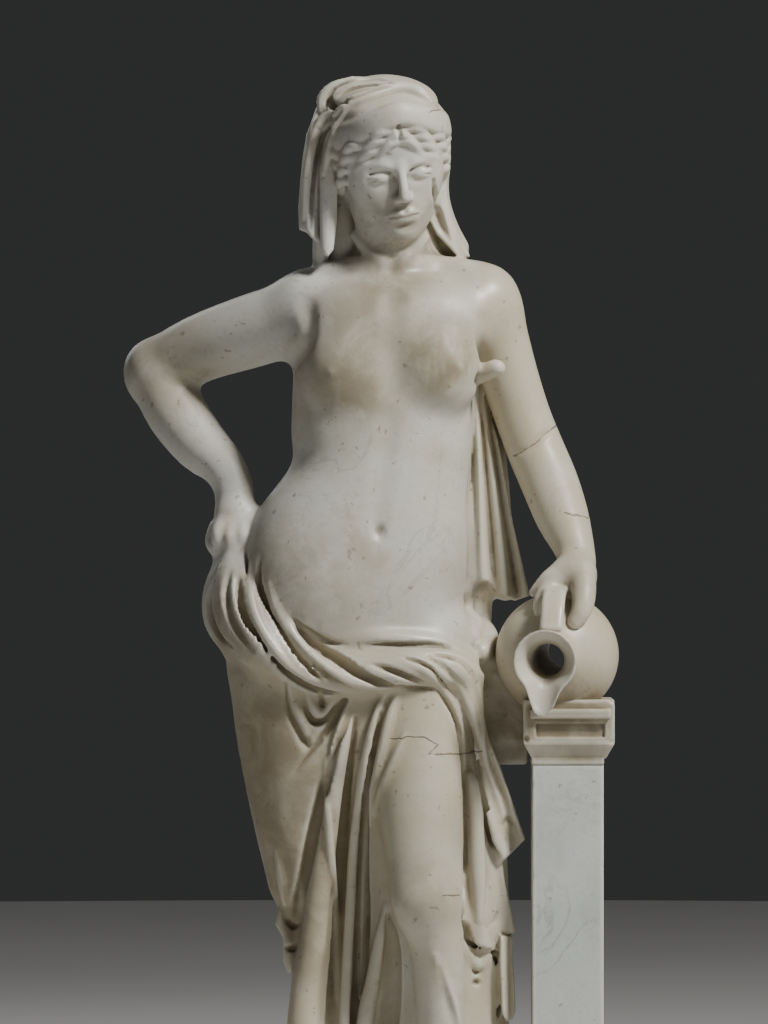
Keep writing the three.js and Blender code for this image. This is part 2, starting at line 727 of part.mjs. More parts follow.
function bodyLines(clay) {
  clay.stroke([[-78, 1440, 34, 0.2], [-78, 1390, 34, 0.5], [-78, 1335, 30, 0.6],
    [-80, 1285, 26, 0.3]], { k: 8, cut: true });
  clay.stroke([[-84, 1250, 32, 0.2], [-88, 1200, 34, 0.6], [-94, 1150, 34, 0.6],
    [-98, 1105, 28, 0.4]], { k: 8, cut: true });
  clay.stroke([[-101, 1086, 8, 3], [-99, 1078, 9, 9], [-97, 1069, 8, 3]], { k: 6, cut: true });
  clay.stroke([[-169, 1315, 6, 1.4], [-167, 1313, 6, 1.4]], { k: 6 });
  clay.stroke([[19, 1322, 6, 1.2], [21, 1320, 6, 1.2]], { k: 6 });
  // Collar bones and pit of the neck.
  clay.stroke([[-98, 1474, 14, 0.5], [-130, 1470, 15, 2.5], [-176, 1464, 15, 0.5]], { k: 14 });
  clay.stroke([[-60, 1474, 14, 0.5], [-24, 1473, 15, 2.5], [26, 1468, 15, 0.5]], { k: 14 });
  clay.stroke([[-79, 1480, 11, 2], [-78, 1471, 12, 2]], { k: 9, cut: true });
  // The long muscles of the neck.
  clay.stroke([[-133, 1520, 8, 0.5], [-112, 1496, 8, 2], [-88, 1476, 8, 1.2]], { k: 9 });
  clay.stroke([[-32, 1518, 8, 0.5], [-50, 1496, 8, 1.6], [-70, 1476, 8, 1.2]], { k: 9 });
  // Arm pits and the small bruises on the chest.
  clay.stroke([[-214, 1420, 18, 0.2], [-211, 1396, 18, 0.6], [-212, 1370, 17, 1.4],
    [-218, 1346, 15, 3], [-230, 1328, 12, 3]], { k: 10, cut: true });
  clay.stroke([[62, 1392, 12, 0.5], [58, 1366, 12, 3], [54, 1335, 12, 4], [50, 1300, 10, 4]],
    { k: 10, cut: true });
  clay.stroke([[-146, 1291, 4, 0.6], [-140, 1287, 4, 0.4]], { k: 3, cut: true });
}

function armRight(clay) {
  clay.limb([[-205, 20, 1404, 57], [-250, 38, 1391, 56], [-300, 62, 1376, 55], [-370, 96, 1353, 51],
    [-434, 126, 1320, 48]], { k: 26 });
  clay.blob([-436, 128, 1318], [49, 46, 50], { k: 14 });
  clay.limb([[-430, 120, 1305, 47], [-405, 100, 1255, 46], [-369, 70, 1208, 42], [-337, 45, 1178, 34],
    [-319, 32, 1145, 30], [-314, 24, 1110, 31]], { k: 14 });
}

function armLeft(clay) {
  clay.limb([[54, 16, 1414, 54], [68, 20, 1394, 51], [82, 24, 1358, 46], [98, 26, 1308, 43],
    [117, 28, 1250, 42], [136, 24, 1200, 43], [157, 10, 1150, 43], [175, -10, 1100, 40],
    [190, -34, 1060, 32], [198, -54, 1032, 27]], { k: 22 });
}

function hands(clay) {
  // The hand: back of it, then four fingers and the thumb closed on the cloth.
  clay.blob([-313, 10, 1092], [33, 24, 36], { k: 14 });
  clay.limb([[-332, 0, 1086, 15], [-338, -18, 1070, 12.5], [-338, -14, 1053, 11]], { k: 7 });
  clay.limb([[-319, -5, 1084, 15], [-320, -26, 1068, 13], [-320, -22, 1052, 11]], { k: 6 });
  clay.limb([[-304, -7, 1085, 15], [-302, -29, 1070, 13], [-302, -24, 1055, 11]], { k: 6 });
  clay.limb([[-290, -5, 1090, 13], [-285, -24, 1076, 11], [-284, -20, 1062, 10]], { k: 6 });
  clay.limb([[-343, 8, 1082, 12], [-351, 4, 1064, 9.5], [-348, -4, 1052, 8.5], [-341, -4, 1044, 7.5]],
    { k: 5 });
  // Creases at the elbow.
  groove(clay, [[105, 1192], [130, 1206], [164, 1234]], 5, 2, { k: 5 });
  // The hand laid over the handle: back of it, thumb in front, forefinger to the left.
  clay.blob([191, -74, 1008], [34, 26, 36], { k: 14 });
  clay.limb([[203, -80, 1014, 20], [205, -104, 988, 18.5], [202, -118, 962, 16],
    [192, -120, 944, 12.5]], { k: 8 });
  clay.limb([[174, -78, 1016, 18], [156, -86, 1006, 15], [142, -86, 994, 11.5], [132, -84, 986, 8]],
    { k: 8 });
  clay.limb([[166, -88, 1004, 13], [146, -100, 986, 10.5], [138, -104, 968, 8.5],
    [139, -102, 954, 7.5]], { k: 4 });
}

function skirtPleats(a, z) {
  const w = clamp((Math.abs(a) - 1.45) / 0.6, 0, 1);
  const v = Math.sin(a * 13 + 0.9 * Math.sin(z / 170.0)) + 0.35 * Math.sin(a * 29 + z / 90.0);
  return w * 7.0 * v * clamp((940 - z) / 200, 0, 1);
}

function skirt(clay) {
  clay.column([ [88, -66, 6, 184, 124, 132, 2.3], [200, -68, 4, 173, 106, 126, 2.3],
    [347, -69, 2, 164, 84, 122, 2.3], [414, -68, 2, 160, 80, 120, 2.3],
    [464, -70, 2, 164, 80, 120, 2.3], [524, -77, 2, 164, 82, 122, 2.3],
    [581, -88, 2, 168, 84, 124, 2.3], [617, -96, 2, 172, 86, 126, 2.3],
    [689, -108, 2, 180, 92, 128, 2.3], [764, -125, 2, 181, 98, 128, 2.3],
    [824, -134, 2, 182, 102, 128, 2.3], [884, -144, 2, 182, 104, 130, 2.2],
    [956, -150, 4, 164, 90, 124, 2.2]], { k: 20, cap: 14, fold: skirtPleats });
  // Standing thigh under the cloth, then the bent leg.
  clay.limb([[-218, -4, 900, 88], [-222, -10, 760, 76], [-218, -14, 640, 62], [-214, -10, 560, 50]],
    { k: 40 });
  clay.limb([[-44, -10, 900, 94], [-44, -44, 780, 80], [-40, -72, 680, 70], [-35, -94, 590, 61],
    [-31, -104, 534, 58]], { k: 14 });
  clay.limb([[-31, -104, 534, 57], [-15, -100, 470, 42], [-9, -92, 400, 37], [-6, -84, 330, 37],
    [-4, -66, 210, 38], [-4, -56, 120, 42]], { k: 14 });
}

function sideDepth(x, z) {
  return -26 - 0.7 * (x + 230) - 6 * Math.cos((x + 0.3 * z) * 0.12);
}

function skirtFolds(clay) {
  // The open hollow between the knees, then the folds standing in it.
  groove(clay, [[-150, 700], [-142, 600, 1.3], [-132, 500, 1.5], [-128, 400, 1.6], [-130, 250, 1.6],
    [-135, 130]], 34, 22, { k: 30 });
  // Heavy band hanging from the knot, its edge undercut.
  ridge(clay, [[-140, 826, 0.6], [-154, 770, 0.9], [-168, 690], [-179, 610, 1.1], [-189, 540, 1.2],
    [-196, 480, 1.35], [-206, 400, 1.6], [-212, 300, 1.7], [-214, 150, 1.7]], 15, 19, { k: 5 });
  ridge(clay, [[-88, 838, 0.6], [-104, 800, 0.8], [-118, 740], [-129, 670], [-138, 590], [-143, 500],
    [-149, 400], [-152, 300], [-156, 150]], 8, 15, { k: 4 });
  ridge(clay, [[-70, 838, 0.7], [-84, 796], [-100, 725], [-111, 672, 0.8], [-114, 640, 0.5]],
    8, 9, { k: 5 });
  ridge(clay, [[-60, 775, 0.6], [-72, 745], [-92, 700], [-108, 655, 0.5]], 7, 4, { k: 6 });
  ridge(clay, [[-88, 520, 0.5], [-96, 470, 1], [-108, 404, 1.2], [-119, 350, 1.3], [-130, 250, 1.3],
    [-138, 140, 1.2]], 10, 17, { k: 5 });
  // Undercut furrows beside them.
  groove(clay, [[-158, 775, 0.6], [-179, 700], [-198, 620, 1.1], [-210, 555, 1.2], [-224, 500, 1],
    [-238, 462, 0.6]], 9, 11, { k: 4 });
  groove(clay, [[-132, 800, 0.5], [-144, 730, 0.9], [-152, 650, 1.1], [-158, 560, 1.2],
    [-163, 470, 1.2], [-170, 370, 1.2], [-176, 250, 1.2], [-180, 130, 1]], 8, 13, { k: 4 });
  groove(clay, [[-96, 806, 0.6], [-110, 740], [-119, 670, 1.2], [-124, 590, 1.5], [-124, 510, 1.7],
    [-126, 430, 1.5], [-134, 350, 1.2], [-141, 250, 1], [-146, 130, 0.9]], 8, 12, { k: 4 });
  groove(clay, [[-86, 505, 0.5], [-78, 460, 1.2], [-78, 400, 1.6], [-82, 340, 1.8], [-92, 240, 1.8],
    [-98, 130, 1.5]], 11, 16, { k: 6 });
  // Left side: small flying folds and the torn edge.
  clay.panel([[-258, 578], [-249, 540], [-249, 512], [-255, 490], [-243, 470], [-243, 436],
    [-233, 412], [-224, 430], [-214, 470], [-204, 520], [-204, 600], [-236, 640]],
    sideDepth, { half: 17, k: 6, r: 5 });
  groove(clay, [[-240, 500, 0.8], [-228, 486, 1], [-216, 492, 0.5]], 5, 9, { k: 3 });
  groove(clay, [[-238, 456, 0.8], [-228, 452, 1], [-220, 462, 0.5]], 5, 9, { k: 3 });
  ridge(clay, [[-252, 600, 0.4], [-244, 560, 1], [-240, 520, 0.6]], 8, 5, { k: 6 });
  // Pulled cloth below the roll, at the left: two v folds and the long drag.
  groove(clay, [[-238, 852, 0.6], [-232, 818], [-219, 784], [-206, 760, 1], [-198, 752, 0.6]],
    6, 7, { k: 5 });
  groove(clay, [[-213, 822, 0.5], [-203, 802], [-192, 793, 1.1], [-178, 800], [-164, 812, 1],
    [-148, 826, 0.7]], 6, 9, { k: 4 });
  groove(clay, [[-188, 840, 0.7], [-184, 822, 1], [-181, 806, 0.6]], 5, 8, { k: 3 });
  groove(clay, [[-150, 828, 1], [-166, 796], [-184, 770, 0.9], [-204, 744, 0.7], [-226, 716, 0.4]],
    5.5, 8, { k: 4 });
  groove(clay, [[-136, 824, 1], [-148, 792], [-160, 765, 0.9], [-170, 735, 0.5]], 5.5, 8, { k: 4 });
  ridge(clay, [[-232, 850, 0.5], [-222, 815, 1], [-206, 778, 0.8]], 9, 5, { k: 6 });
  ridge(clay, [[-206, 838, 0.5], [-196, 815, 1], [-184, 806, 0.8], [-166, 826, 0.5]], 8, 6, { k: 5 });
  // Over and beside the bent knee.
  groove(clay, [[-12, 842, 0.6], [10, 809], [21, 764], [26, 704, 1.1], [27, 600, 1.2], [25, 510, 1.2],
    [30, 478, 1.1], [44, 458, 0.8]], 7, 13, { k: 3 });
  ridge(clay, [[18, 836, 0.5], [32, 790, 0.9], [40, 720], [45, 640, 1.1], [48, 560, 1.1],
    [50, 500, 0.9]], 11, 11, { k: 5 });
  groove(clay, [[22, 826, 0.6], [38, 764], [50, 704, 1.1], [60, 655, 1.1], [70, 614, 1],
    [80, 588, 0.7]], 6, 12, { k: 3 });
  // Slimmer folds standing in the two deep channels.
  ridge(clay, [[-180, 770, 0.4], [-174, 640, 0.9], [-166, 520, 1], [-160, 380, 1]], 7, 8, { k: 4 });
  ridge(clay, [[-112, 770, 0.4], [-118, 640, 0.9], [-124, 520, 1], [-126, 380, 1]], 7, 8, { k: 4 });
}

function flapDepth(x, z) {
  return -78 + 0.42 * (x - 30) - 5 * Math.cos((x - 0.42 * (850 - z)) * 0.13 + 2.6) + (850 - z) * 0.02;
}

function underDepth(x, z) {
  return -72 + 0.5 * (x - 24) - 4 * Math.cos((x - 0.1 * (600 - z)) * 0.14);
}

function hemDepth(x, z) {
  return -56 + 0.6 * (x - 76) - 4 * Math.cos((x - 0.03 * (470 - z)) * 0.3);
}

function flap(clay) {
  // The end of the cloak thrown over the roll, hanging to a corner, and what hangs beneath it.
  clay.limb([[62, -20, 640, 30], [60, -26, 560, 34], [64, -28, 500, 32], [66, -24, 430, 30],
    [68, -16, 370, 30]], { k: 12 });
  clay.panel([[24, 720], [22, 560], [23, 505], [27, 482], [37, 464], [52, 458], [70, 452], [82, 449],
    [88, 474], [106, 478], [102, 494], [96, 524], [89, 554], [82, 600], [84, 700]],
    underDepth, { half: 12, k: 4, r: 3 });
  clay.panel([[82, 474], [100, 473], [101, 434], [104, 396], [105, 359], [100, 347], [91, 345],
    [84, 358], [82, 400], [80, 440]], hemDepth, { half: 12, k: 3, r: 4 });
  clay.panel([[14, 862], [56, 862], [58, 800], [66, 764], [82, 726], [100, 674], [110, 644],
    [120, 617], [103, 600], [80, 580], [70, 614], [60, 655], [50, 704], [38, 764], [24, 826]],
    flapDepth, { half: 13, k: 4, r: 4 });
  ridge(clay, [[40, 820, 0.5], [52, 770, 1], [66, 720], [80, 670], [92, 630, 0.6]], 7, 5, { k: 4 });
  groove(clay, [[60, 790, 0.4], [70, 730, 1], [88, 680, 1], [100, 640, 0.5]], 5, 5, { k: 4 });
  groove(clay, [[84, 638, 0.6], [95, 648, 1], [106, 632, 0.6]], 5, 5, { k: 4 });
  groove(clay, [[80, 524, 0.4], [76, 500, 1], [62, 486, 0.5]], 5, 4, { k: 4 });
  groove(clay, [[52, 560, 0.4], [56, 530, 1], [62, 515, 0.5]], 5, 4, { k: 4 });
  groove(clay, [[74, 446, 0.8], [73, 420, 1.3], [74, 385, 1.4], [80, 352, 1]], 6, 16, { k: 2 });
  groove(clay, [[30, 470, 0.8], [40, 459, 1], [60, 454, 1], [80, 446, 0.9]], 5, 13, { k: 2 });
  groove(clay, [[86, 476, 0.8], [104, 474, 0.8]], 4, 9, { k: 2 });
  groove(clay, [[40, 424, 0.5], [46, 420, 1], [54, 422, 0.4]], 5, 7, { k: 3 });
  groove(clay, [[40, 402, 0.5], [46, 404, 1], [52, 402, 0.4]], 5, 7, { k: 3 });
  ridge(clay, [[34, 452, 0.5], [48, 430, 1], [62, 440, 0.5]], 8, 5, { k: 6 });
  ridge(clay, [[-16, 450, 0.4], [-2, 410, 1], [12, 360, 1.1], [24, 260, 1], [30, 150, 0.8]],
    8, 5, { k: 8 });
  groove(clay, [[-10, 430, 0.4], [6, 370, 1], [22, 320, 1], [34, 230, 1], [40, 130, 0.8]],
    6, 5, { k: 8 });
}

function roll(clay) {
  clay.limb([[-300, -6, 1044, 30], [-306, -26, 1006, 40], [-298, -52, 960, 47], [-270, -74, 916, 48],
    [-228, -88, 884, 42], [-172, -98, 866, 36], [-112, -106, 868, 32], [-50, -108, 874, 30],
    [0, -98, 874, 27], [28, -76, 868, 24]], { k: 16 });
  clay.limb([[-316, 10, 1038, 24], [-334, -2, 988, 28], [-332, -6, 946, 30], [-308, -30, 912, 30]],
    { k: 16 });
  clay.limb([[-160, -96, 916, 14], [-100, -104, 918, 15], [-40, -98, 912, 15], [0, -84, 902, 15],
    [34, -62, 886, 16]], { k: 10 });
  // Cloth gathered up into the fist.
  clay.limb([[-292, -20, 1052, 14], [-288, -34, 1020, 16], [-282, -52, 985, 16]], { k: 8 });
  // Round the back: four strands laid side by side, crossing slowly.
  for (let i = 0; i < 4; i += 1) {
    const pts = [];
    for (let j = 0; j < 13; j += 1) {
      const t = j / 12;
      const a = rad(72 + 216 * t);
      const high = 896 + 58 * Math.sin(Math.PI * t * 0.62) + 40 * t;
      const twist = i * 1.57 + 1.9 * t;
      const ring = 1 + 0.10 * Math.cos(twist);
      const x = -134 + 178 * ring * Math.sin(a);
      const y = 2 - 118 * ring * Math.cos(a);
      pts.push([x, y, high + 21 * Math.sin(twist), 17 + 9 * Math.sin(Math.PI * t)]);
    }
    clay.limb(pts, { k: 4 });
  }
}

function rollFolds(clay) {
  groove(clay, [[-309, 1010, 0.7], [-304, 974], [-294, 944, 1.2], [-276, 922, 1.2], [-250, 888, 1.1],
    [-222, 862], [-190, 845, 1], [-160, 835, 0.7]], 8, 17, { k: 3 });
  groove(clay, [[-276, 1040, 0.5], [-275, 1004], [-267, 974, 1.1], [-254, 948, 1.1], [-242, 926, 1],
    [-225, 899], [-203, 874, 0.9], [-185, 858, 0.5]], 6.5, 14, { k: 3 });
  groove(clay, [[-222, 944, 0.5], [-212, 922], [-190, 903, 1.2], [-160, 885, 1.3], [-128, 867, 1.2],
    [-98, 855], [-80, 848, 0.7]], 8, 15, { k: 3 });
  groove(clay, [[-228, 950, 0.5], [-205, 930, 1], [-175, 913, 1], [-148, 909, 0.5]], 5.5, 8, { k: 3 });
  groove(clay, [[-124, 909, 0.5], [-68, 909, 1], [-20, 908, 1], [18, 901, 0.6]], 4.5, 8, { k: 3 });
  groove(clay, [[-112, 880, 0.5], [-83, 872, 1], [-53, 861, 1], [-26, 850, 0.6]], 5, 9, { k: 3 });
  groove(clay, [[-38, 897, 0.4], [0, 891, 0.9], [22, 884, 1], [38, 864, 1], [52, 838, 0.6]],
    4.5, 8, { k: 3 });
  groove(clay, [[-90, 850, 0.6], [-55, 846, 1], [-15, 843, 0.8]], 4.5, 8, { k: 3 });
  groove(clay, [[-300, 1052, 0.6], [-294, 1025, 1], [-293, 1002, 0.9]], 4.5, 10, { k: 3 });
  groove(clay, [[-340, 1026, 0.5], [-352, 985, 1], [-350, 950, 1.1], [-336, 920, 1],
    [-316, 904, 0.5]], 6, 9, { k: 4 });
  groove(clay, [[-322, 1020, 0.5], [-326, 985, 1], [-320, 952, 1], [-306, 926, 1], [-286, 900, 0.6]],
    6, 8, { k: 5 });
  // Secondary ribs on the rolls.
  ridge(clay, [[-290, 1030, 0.5], [-290, 985, 1], [-281, 950, 1], [-262, 915, 1], [-236, 882, 0.9],
    [-206, 858, 0.5]], 7, 5, { k: 4 });
  ridge(clay, [[-262, 1000, 0.4], [-252, 968, 1], [-236, 938, 1], [-212, 904, 1], [-182, 878, 1],
    [-150, 858, 1], [-112, 846, 0.5]], 8, 5, { k: 5 });
  groove(clay, [[-236, 930, 0.4], [-215, 898, 1], [-186, 872, 1], [-156, 852, 0.9], [-126, 838, 0.5]],
    4, 5, { k: 3 });
  // The fan at the right where the cloth turns down.
  groove(clay, [[-68, 892, 0.4], [-40, 882, 0.9], [-20, 868, 1], [4, 838, 1], [22, 802, 0.7],
    [30, 770, 0.4]], 4.5, 8, { k: 3 });
  groove(clay, [[-52, 897, 0.4], [-20, 886, 0.9], [4, 868, 1], [26, 842, 1], [44, 808, 0.7],
    [54, 770, 0.4]], 4.5, 7, { k: 3 });
  ridge(clay, [[-60, 884, 0.4], [-30, 870, 0.9], [-8, 848, 1], [14, 812, 1], [26, 776, 0.5]],
    6, 5, { k: 3 });
  ridge(clay, [[-40, 893, 0.4], [-6, 877, 0.9], [18, 850, 1], [36, 818, 1], [48, 776, 0.5]],
    6, 4, { k: 3 });
  ridge(clay, [[0, 896, 0.4], [26, 878, 1], [44, 850, 1], [54, 815, 0.6]], 7, 4, { k: 3 });
}

function veilPleats(a, z) {
  const broad = 6.0 * Math.sin(a * 9 + 0.4 * Math.sin(z / 140.0));
  const fine = 2.5 * Math.sin(a * 21 + z / 160.0);
  return (broad + fine) * clamp((1700 - z) / 260, 0, 1);
}

function curtainDepth(x, z) {
  const u = (x - 44) / (20 + (1300 - z) * 0.2);
  return 26 + 20 * u - 6.5 * Math.cos(15.7 * (u - 0.17)) * clamp((1300 - z) / 120, 0.3, 1);
}

function veilCurtain(clay) {
  // Veil hanging between the body and the left arm with a cut hem, inner layers beneath it.
  clay.panel([[42, 1320], [56, 1294], [66, 1262], [80, 1215], [90, 1160], [98, 1110], [107, 1070],
    [116, 1030], [128, 980], [118, 976], [106, 972], [92, 979], [74, 990], [64, 1001], [44, 1003],
    [42, 1100]], curtainDepth, { half: 11, k: 5, r: 4 });
  clay.limb([[40, 74, 1180, 18], [34, 70, 1060, 20], [32, 66, 960, 20], [34, 60, 890, 20]], { k: 10 });
  clay.limb([[30, 42, 1010, 9], [33, 40, 940, 10], [38, 36, 845, 11]], { k: 3 });
  clay.limb([[46, 54, 1012, 10], [50, 50, 940, 10], [56, 44, 845, 11]], { k: 3 });
  clay.limb([[62, 52, 1010, 8], [64, 52, 970, 8], [62, 54, 900, 6]], { k: 3 });
  clay.limb([[66, 66, 1020, 16], [84, 60, 1010, 16], [92, 54, 985, 12]], { k: 8 });
  // Behind: a broad fall with upright folds.
  clay.column([ [978, -20, 66, 128, 44, 60, 2.6], [1100, -26, 64, 118, 44, 58, 2.6],
    [1250, -34, 64, 112, 44, 58, 2.6], [1400, -52, 62, 110, 46, 60, 2.4],
    [1480, -76, 58, 106, 44, 62, 2.2], [1540, -92, 50, 98, 44, 68, 2.1],
    [1610, -98, 42, 98, 46, 82, 2.0], [1680, -98, 38, 88, 46, 80, 2.0]],
    { k: 14, cap: 30, fold: veilPleats });
}

function head(clay) {
  headBlob(clay, [0, 14, 24], [73, 88, 84], { k: 14 });
  headBlob(clay, [0, -22, -20], [60, 62, 77], { k: 24 });
  headBlob(clay, [0, -36, 46], [60, 51, 42], { k: 24 });
  for (const s of [-1, 1]) {
    headBlob(clay, [s * 31, -46, -27], [32, 30, 38], { k: 22 });
    headBlob(clay, [s * 50, -36, 4], [20, 34, 34], { k: 24 });
    headLimb(clay, [[s * 51, 0, -42, 16], [s * 37, -32, -69, 16], [s * 12, -61, -86, 15]], { k: 22 });
  }
  headBlob(clay, [0, -72, -86], [20, 16, 16], { k: 16 });
  headBlob(clay, [0, -72, -58], [32, 18, 24], { k: 18 });
}

function face(clay) {
  for (const s of [-1, 1]) {
    headBlob(clay, [s * 28, -96, 4], [17, 13, 10], { k: 20, cut: true });
    headLimb(clay, [[s * 9, -80, 14, 5], [s * 27, -80.5, 21, 5], [s * 49, -65, 14, 5]], { k: 14 });
    // Lid swelling, the almond cut in it and the eye behind.
    headBlob(clay, [s * 30, -71.5, 1], [18.5, 13.5, 11.5], { k: 5 });
    headLimb(clay, [[s * 16.5, -82, -3, 1.2], [s * 23, -87, -1.4, 2.8], [s * 31, -89, -.6, 3.6],
      [s * 38, -85, -1.4, 2.8], [s * 45.5, -77, -3.6, 1.2]], { k: 1.2, cut: true });
    headBlob(clay, [s * 30.5, -69.5, -.5], [14, 13, 10.5], { k: 0.6 });
    headLimb(clay, [[s * 15, -81, 8, 1.1], [s * 30, -86.5, 12, 1.6], [s * 45, -76, 7, 1.1]],
      { k: 4, cut: true });
  }
  headLimb(clay, [[0, -79, 26, 8], [0, -89.5, 3, 6.6], [0, -98, -16, 7], [0, -101, -27, 8.4]],
    { k: 8 });
  for (const s of [-1, 1]) {
    headBlob(clay, [s * 9, -91, -32], [5.6, 9, 5.6], { k: 8 });
    headBlob(clay, [s * 6, -98, -39], [3, 4, 2.2], { k: 2, cut: true });
  }
  headLimb(clay, [[-23, -82, -58.5, 2.6], [-11, -89.5, -54, 4.8], [0, -91, -55, 4.8],
    [11, -89.5, -54, 4.8], [23, -82, -58.5, 2.6]], { k: 6 });
  headLimb(clay, [[-17, -83, -64, 3.6], [0, -87.5, -66, 6.2], [17, -83, -64, 3.6]], { k: 7 });
  headLimb(clay, [[-22, -86.5, -59.6, 0.8], [-10, -94.5, -59.4, 1.2], [0, -96.4, -60.4, 1.2],
    [10, -94.5, -59.4, 1.2], [22, -86.5, -59.6, 0.8]], { k: 3, cut: true });
  headLimb(clay, [[0, -95, -45, 2.2], [0, -96, -50, 2.8]], { k: 6, cut: true });
  headBlob(clay, [0, -93, -75.5], [13, 5, 4], { k: 9, cut: true });
}

function hair(clay) {
  // A soft cap of hair, then thick waves drawn back from the parting over the ears.
  for (const s of [-1, 1]) {
    headLimb(clay, [[s * 4, -74, 67, 14], [s * 30, -66, 50, 18], [s * 54, -44, 24, 19],
      [s * 65, -12, 2, 18], [s * 66, 18, -12, 16]], { k: 8 });
    headLimb(clay, [[s * 63, -30, 6, 9], [s * 69, -10, -14, 12], [s * 67, 12, -24, 13],
      [s * 60, 28, -28, 10]], { k: 6 });
    for (let i = 0; i < 4; i += 1) {
      const u = i / 3;
      const pts = [];
      for (let j = 0; j < 15; j += 1) {
        const t = j / 14;
        const a = rad(3 + 95 * t);
        const wave = Math.sin(t * 20 + i * 1.5);
        const x = s * (81 + 4 * u + 3 * wave) * Math.sin(a);
        const y = 4 - (88 + 2 * u + 3 * wave) * Math.cos(a);
        const z = 57 + 22 * u - (86 - 28 * u) * Math.sin(a * 0.9) ** 1.4 + 4.5 * wave;
        pts.push([x, y, z, 8.8 - 1.6 * Math.abs(t - 0.4)]);
      }
      headLimb(clay, pts, { k: 2 });
    }
  }
  headLimb(clay, [[0, -93, 64, 2], [0, -95, 72, 3.5], [0, -90, 84, 3]], { k: 4, cut: true });
}

function diadem(clay) {
  // A broad smooth band standing over the hair, lowest behind the ears.
  headBlob(clay, [3, 6, 88], [76, 86, 34], { k: 6 });
  for (let i = 0; i < 4; i += 1) {
    const u = i / 3;
    const pts = [];
    for (let j = 0; j < 11; j += 1) {
      const a = rad(-100 + 20 * j);
      const low = Math.sin(Math.abs(a) * 0.85) ** 1.4;
      const x = 4 + (83 - 5 * u) * Math.sin(a);
      const y = 6 - (93 - 9 * u) * Math.cos(a);
      pts.push([x, y, 88 + 14 * u - (56 - 10 * u) * low, 9 + 2 * u]);
    }
    headLimb(clay, pts, { k: 9 });
  }
}

function fallDepth(x, z) {
  const u = (x + 218) / 52;
  return -6 + 5 * Math.cos(u * 8.6 + 0.5) - 10 * u;
}

function stripDepth(x, z) {
  return -30 - 5 * Math.cos((x + 176) * 0.13) + (1616 - z) * 0.02;
}

function rightFallDepth(x, z) {
  return 16 + (x + 10) * 0.35 - 4 * Math.cos((x - 0.25 * (1700 - z)) * 0.16);
}

function veil(clay) {
  clay.blob([-95, 32, 1652], [101, 96, 105], { k: 12 });
  clay.blob([-94, -6, 1673], [92, 82, 85], { k: 16 });
  clay.limb([[-136, -24, 1734, 22], [-160, -22, 1724, 21], [-176, -14, 1700, 19],
    [-186, -10, 1660, 18]], { k: 14 });
  // The fall at the left: a flat hanging end with a zigzag hem, its folded strip in front.
  clay.panel([[-150, 1722], [-190, 1712], [-207, 1672], [-213, 1640], [-217, 1600], [-220, 1560],
    [-219, 1529], [-207, 1524], [-200, 1516], [-190, 1509], [-180, 1500], [-172, 1560], [-166, 1640],
    [-156, 1700]], fallDepth, { half: 17, k: 6, r: 5 });
  clay.panel([[-188, 1617], [-187, 1500], [-181, 1490], [-175, 1487], [-167, 1498], [-162, 1540],
    [-161, 1600], [-164, 1650], [-160, 1700], [-172, 1700], [-182, 1650]],
    stripDepth, { half: 10, k: 2.5, r: 5 });
  clay.limb([[-182, 10, 1560, 16], [-186, 12, 1500, 13], [-188, 14, 1482, 11]], { k: 6 });
  // The fall at the right, behind the neck.
  clay.limb([[-60, 20, 1728, 26], [-18, 22, 1690, 20], [-12, 30, 1630, 15], [-10, 38, 1580, 15],
    [4, 42, 1535, 16], [20, 44, 1504, 16]], { k: 12 });
  clay.panel([[-30, 1700], [0, 1692], [6, 1660], [6, 1630], [4, 1600], [4, 1580], [8, 1560],
    [12, 1545], [20, 1525], [30, 1505], [38, 1490], [20, 1488], [6, 1503], [-12, 1522], [-24, 1545],
    [-27, 1572], [-24, 1620]], rightFallDepth, { half: 11, k: 6, r: 5 });
  clay.limb([[-150, 40, 1580, 26], [-150, 34, 1530, 26], [-152, 34, 1490, 22]], { k: 12 });
}

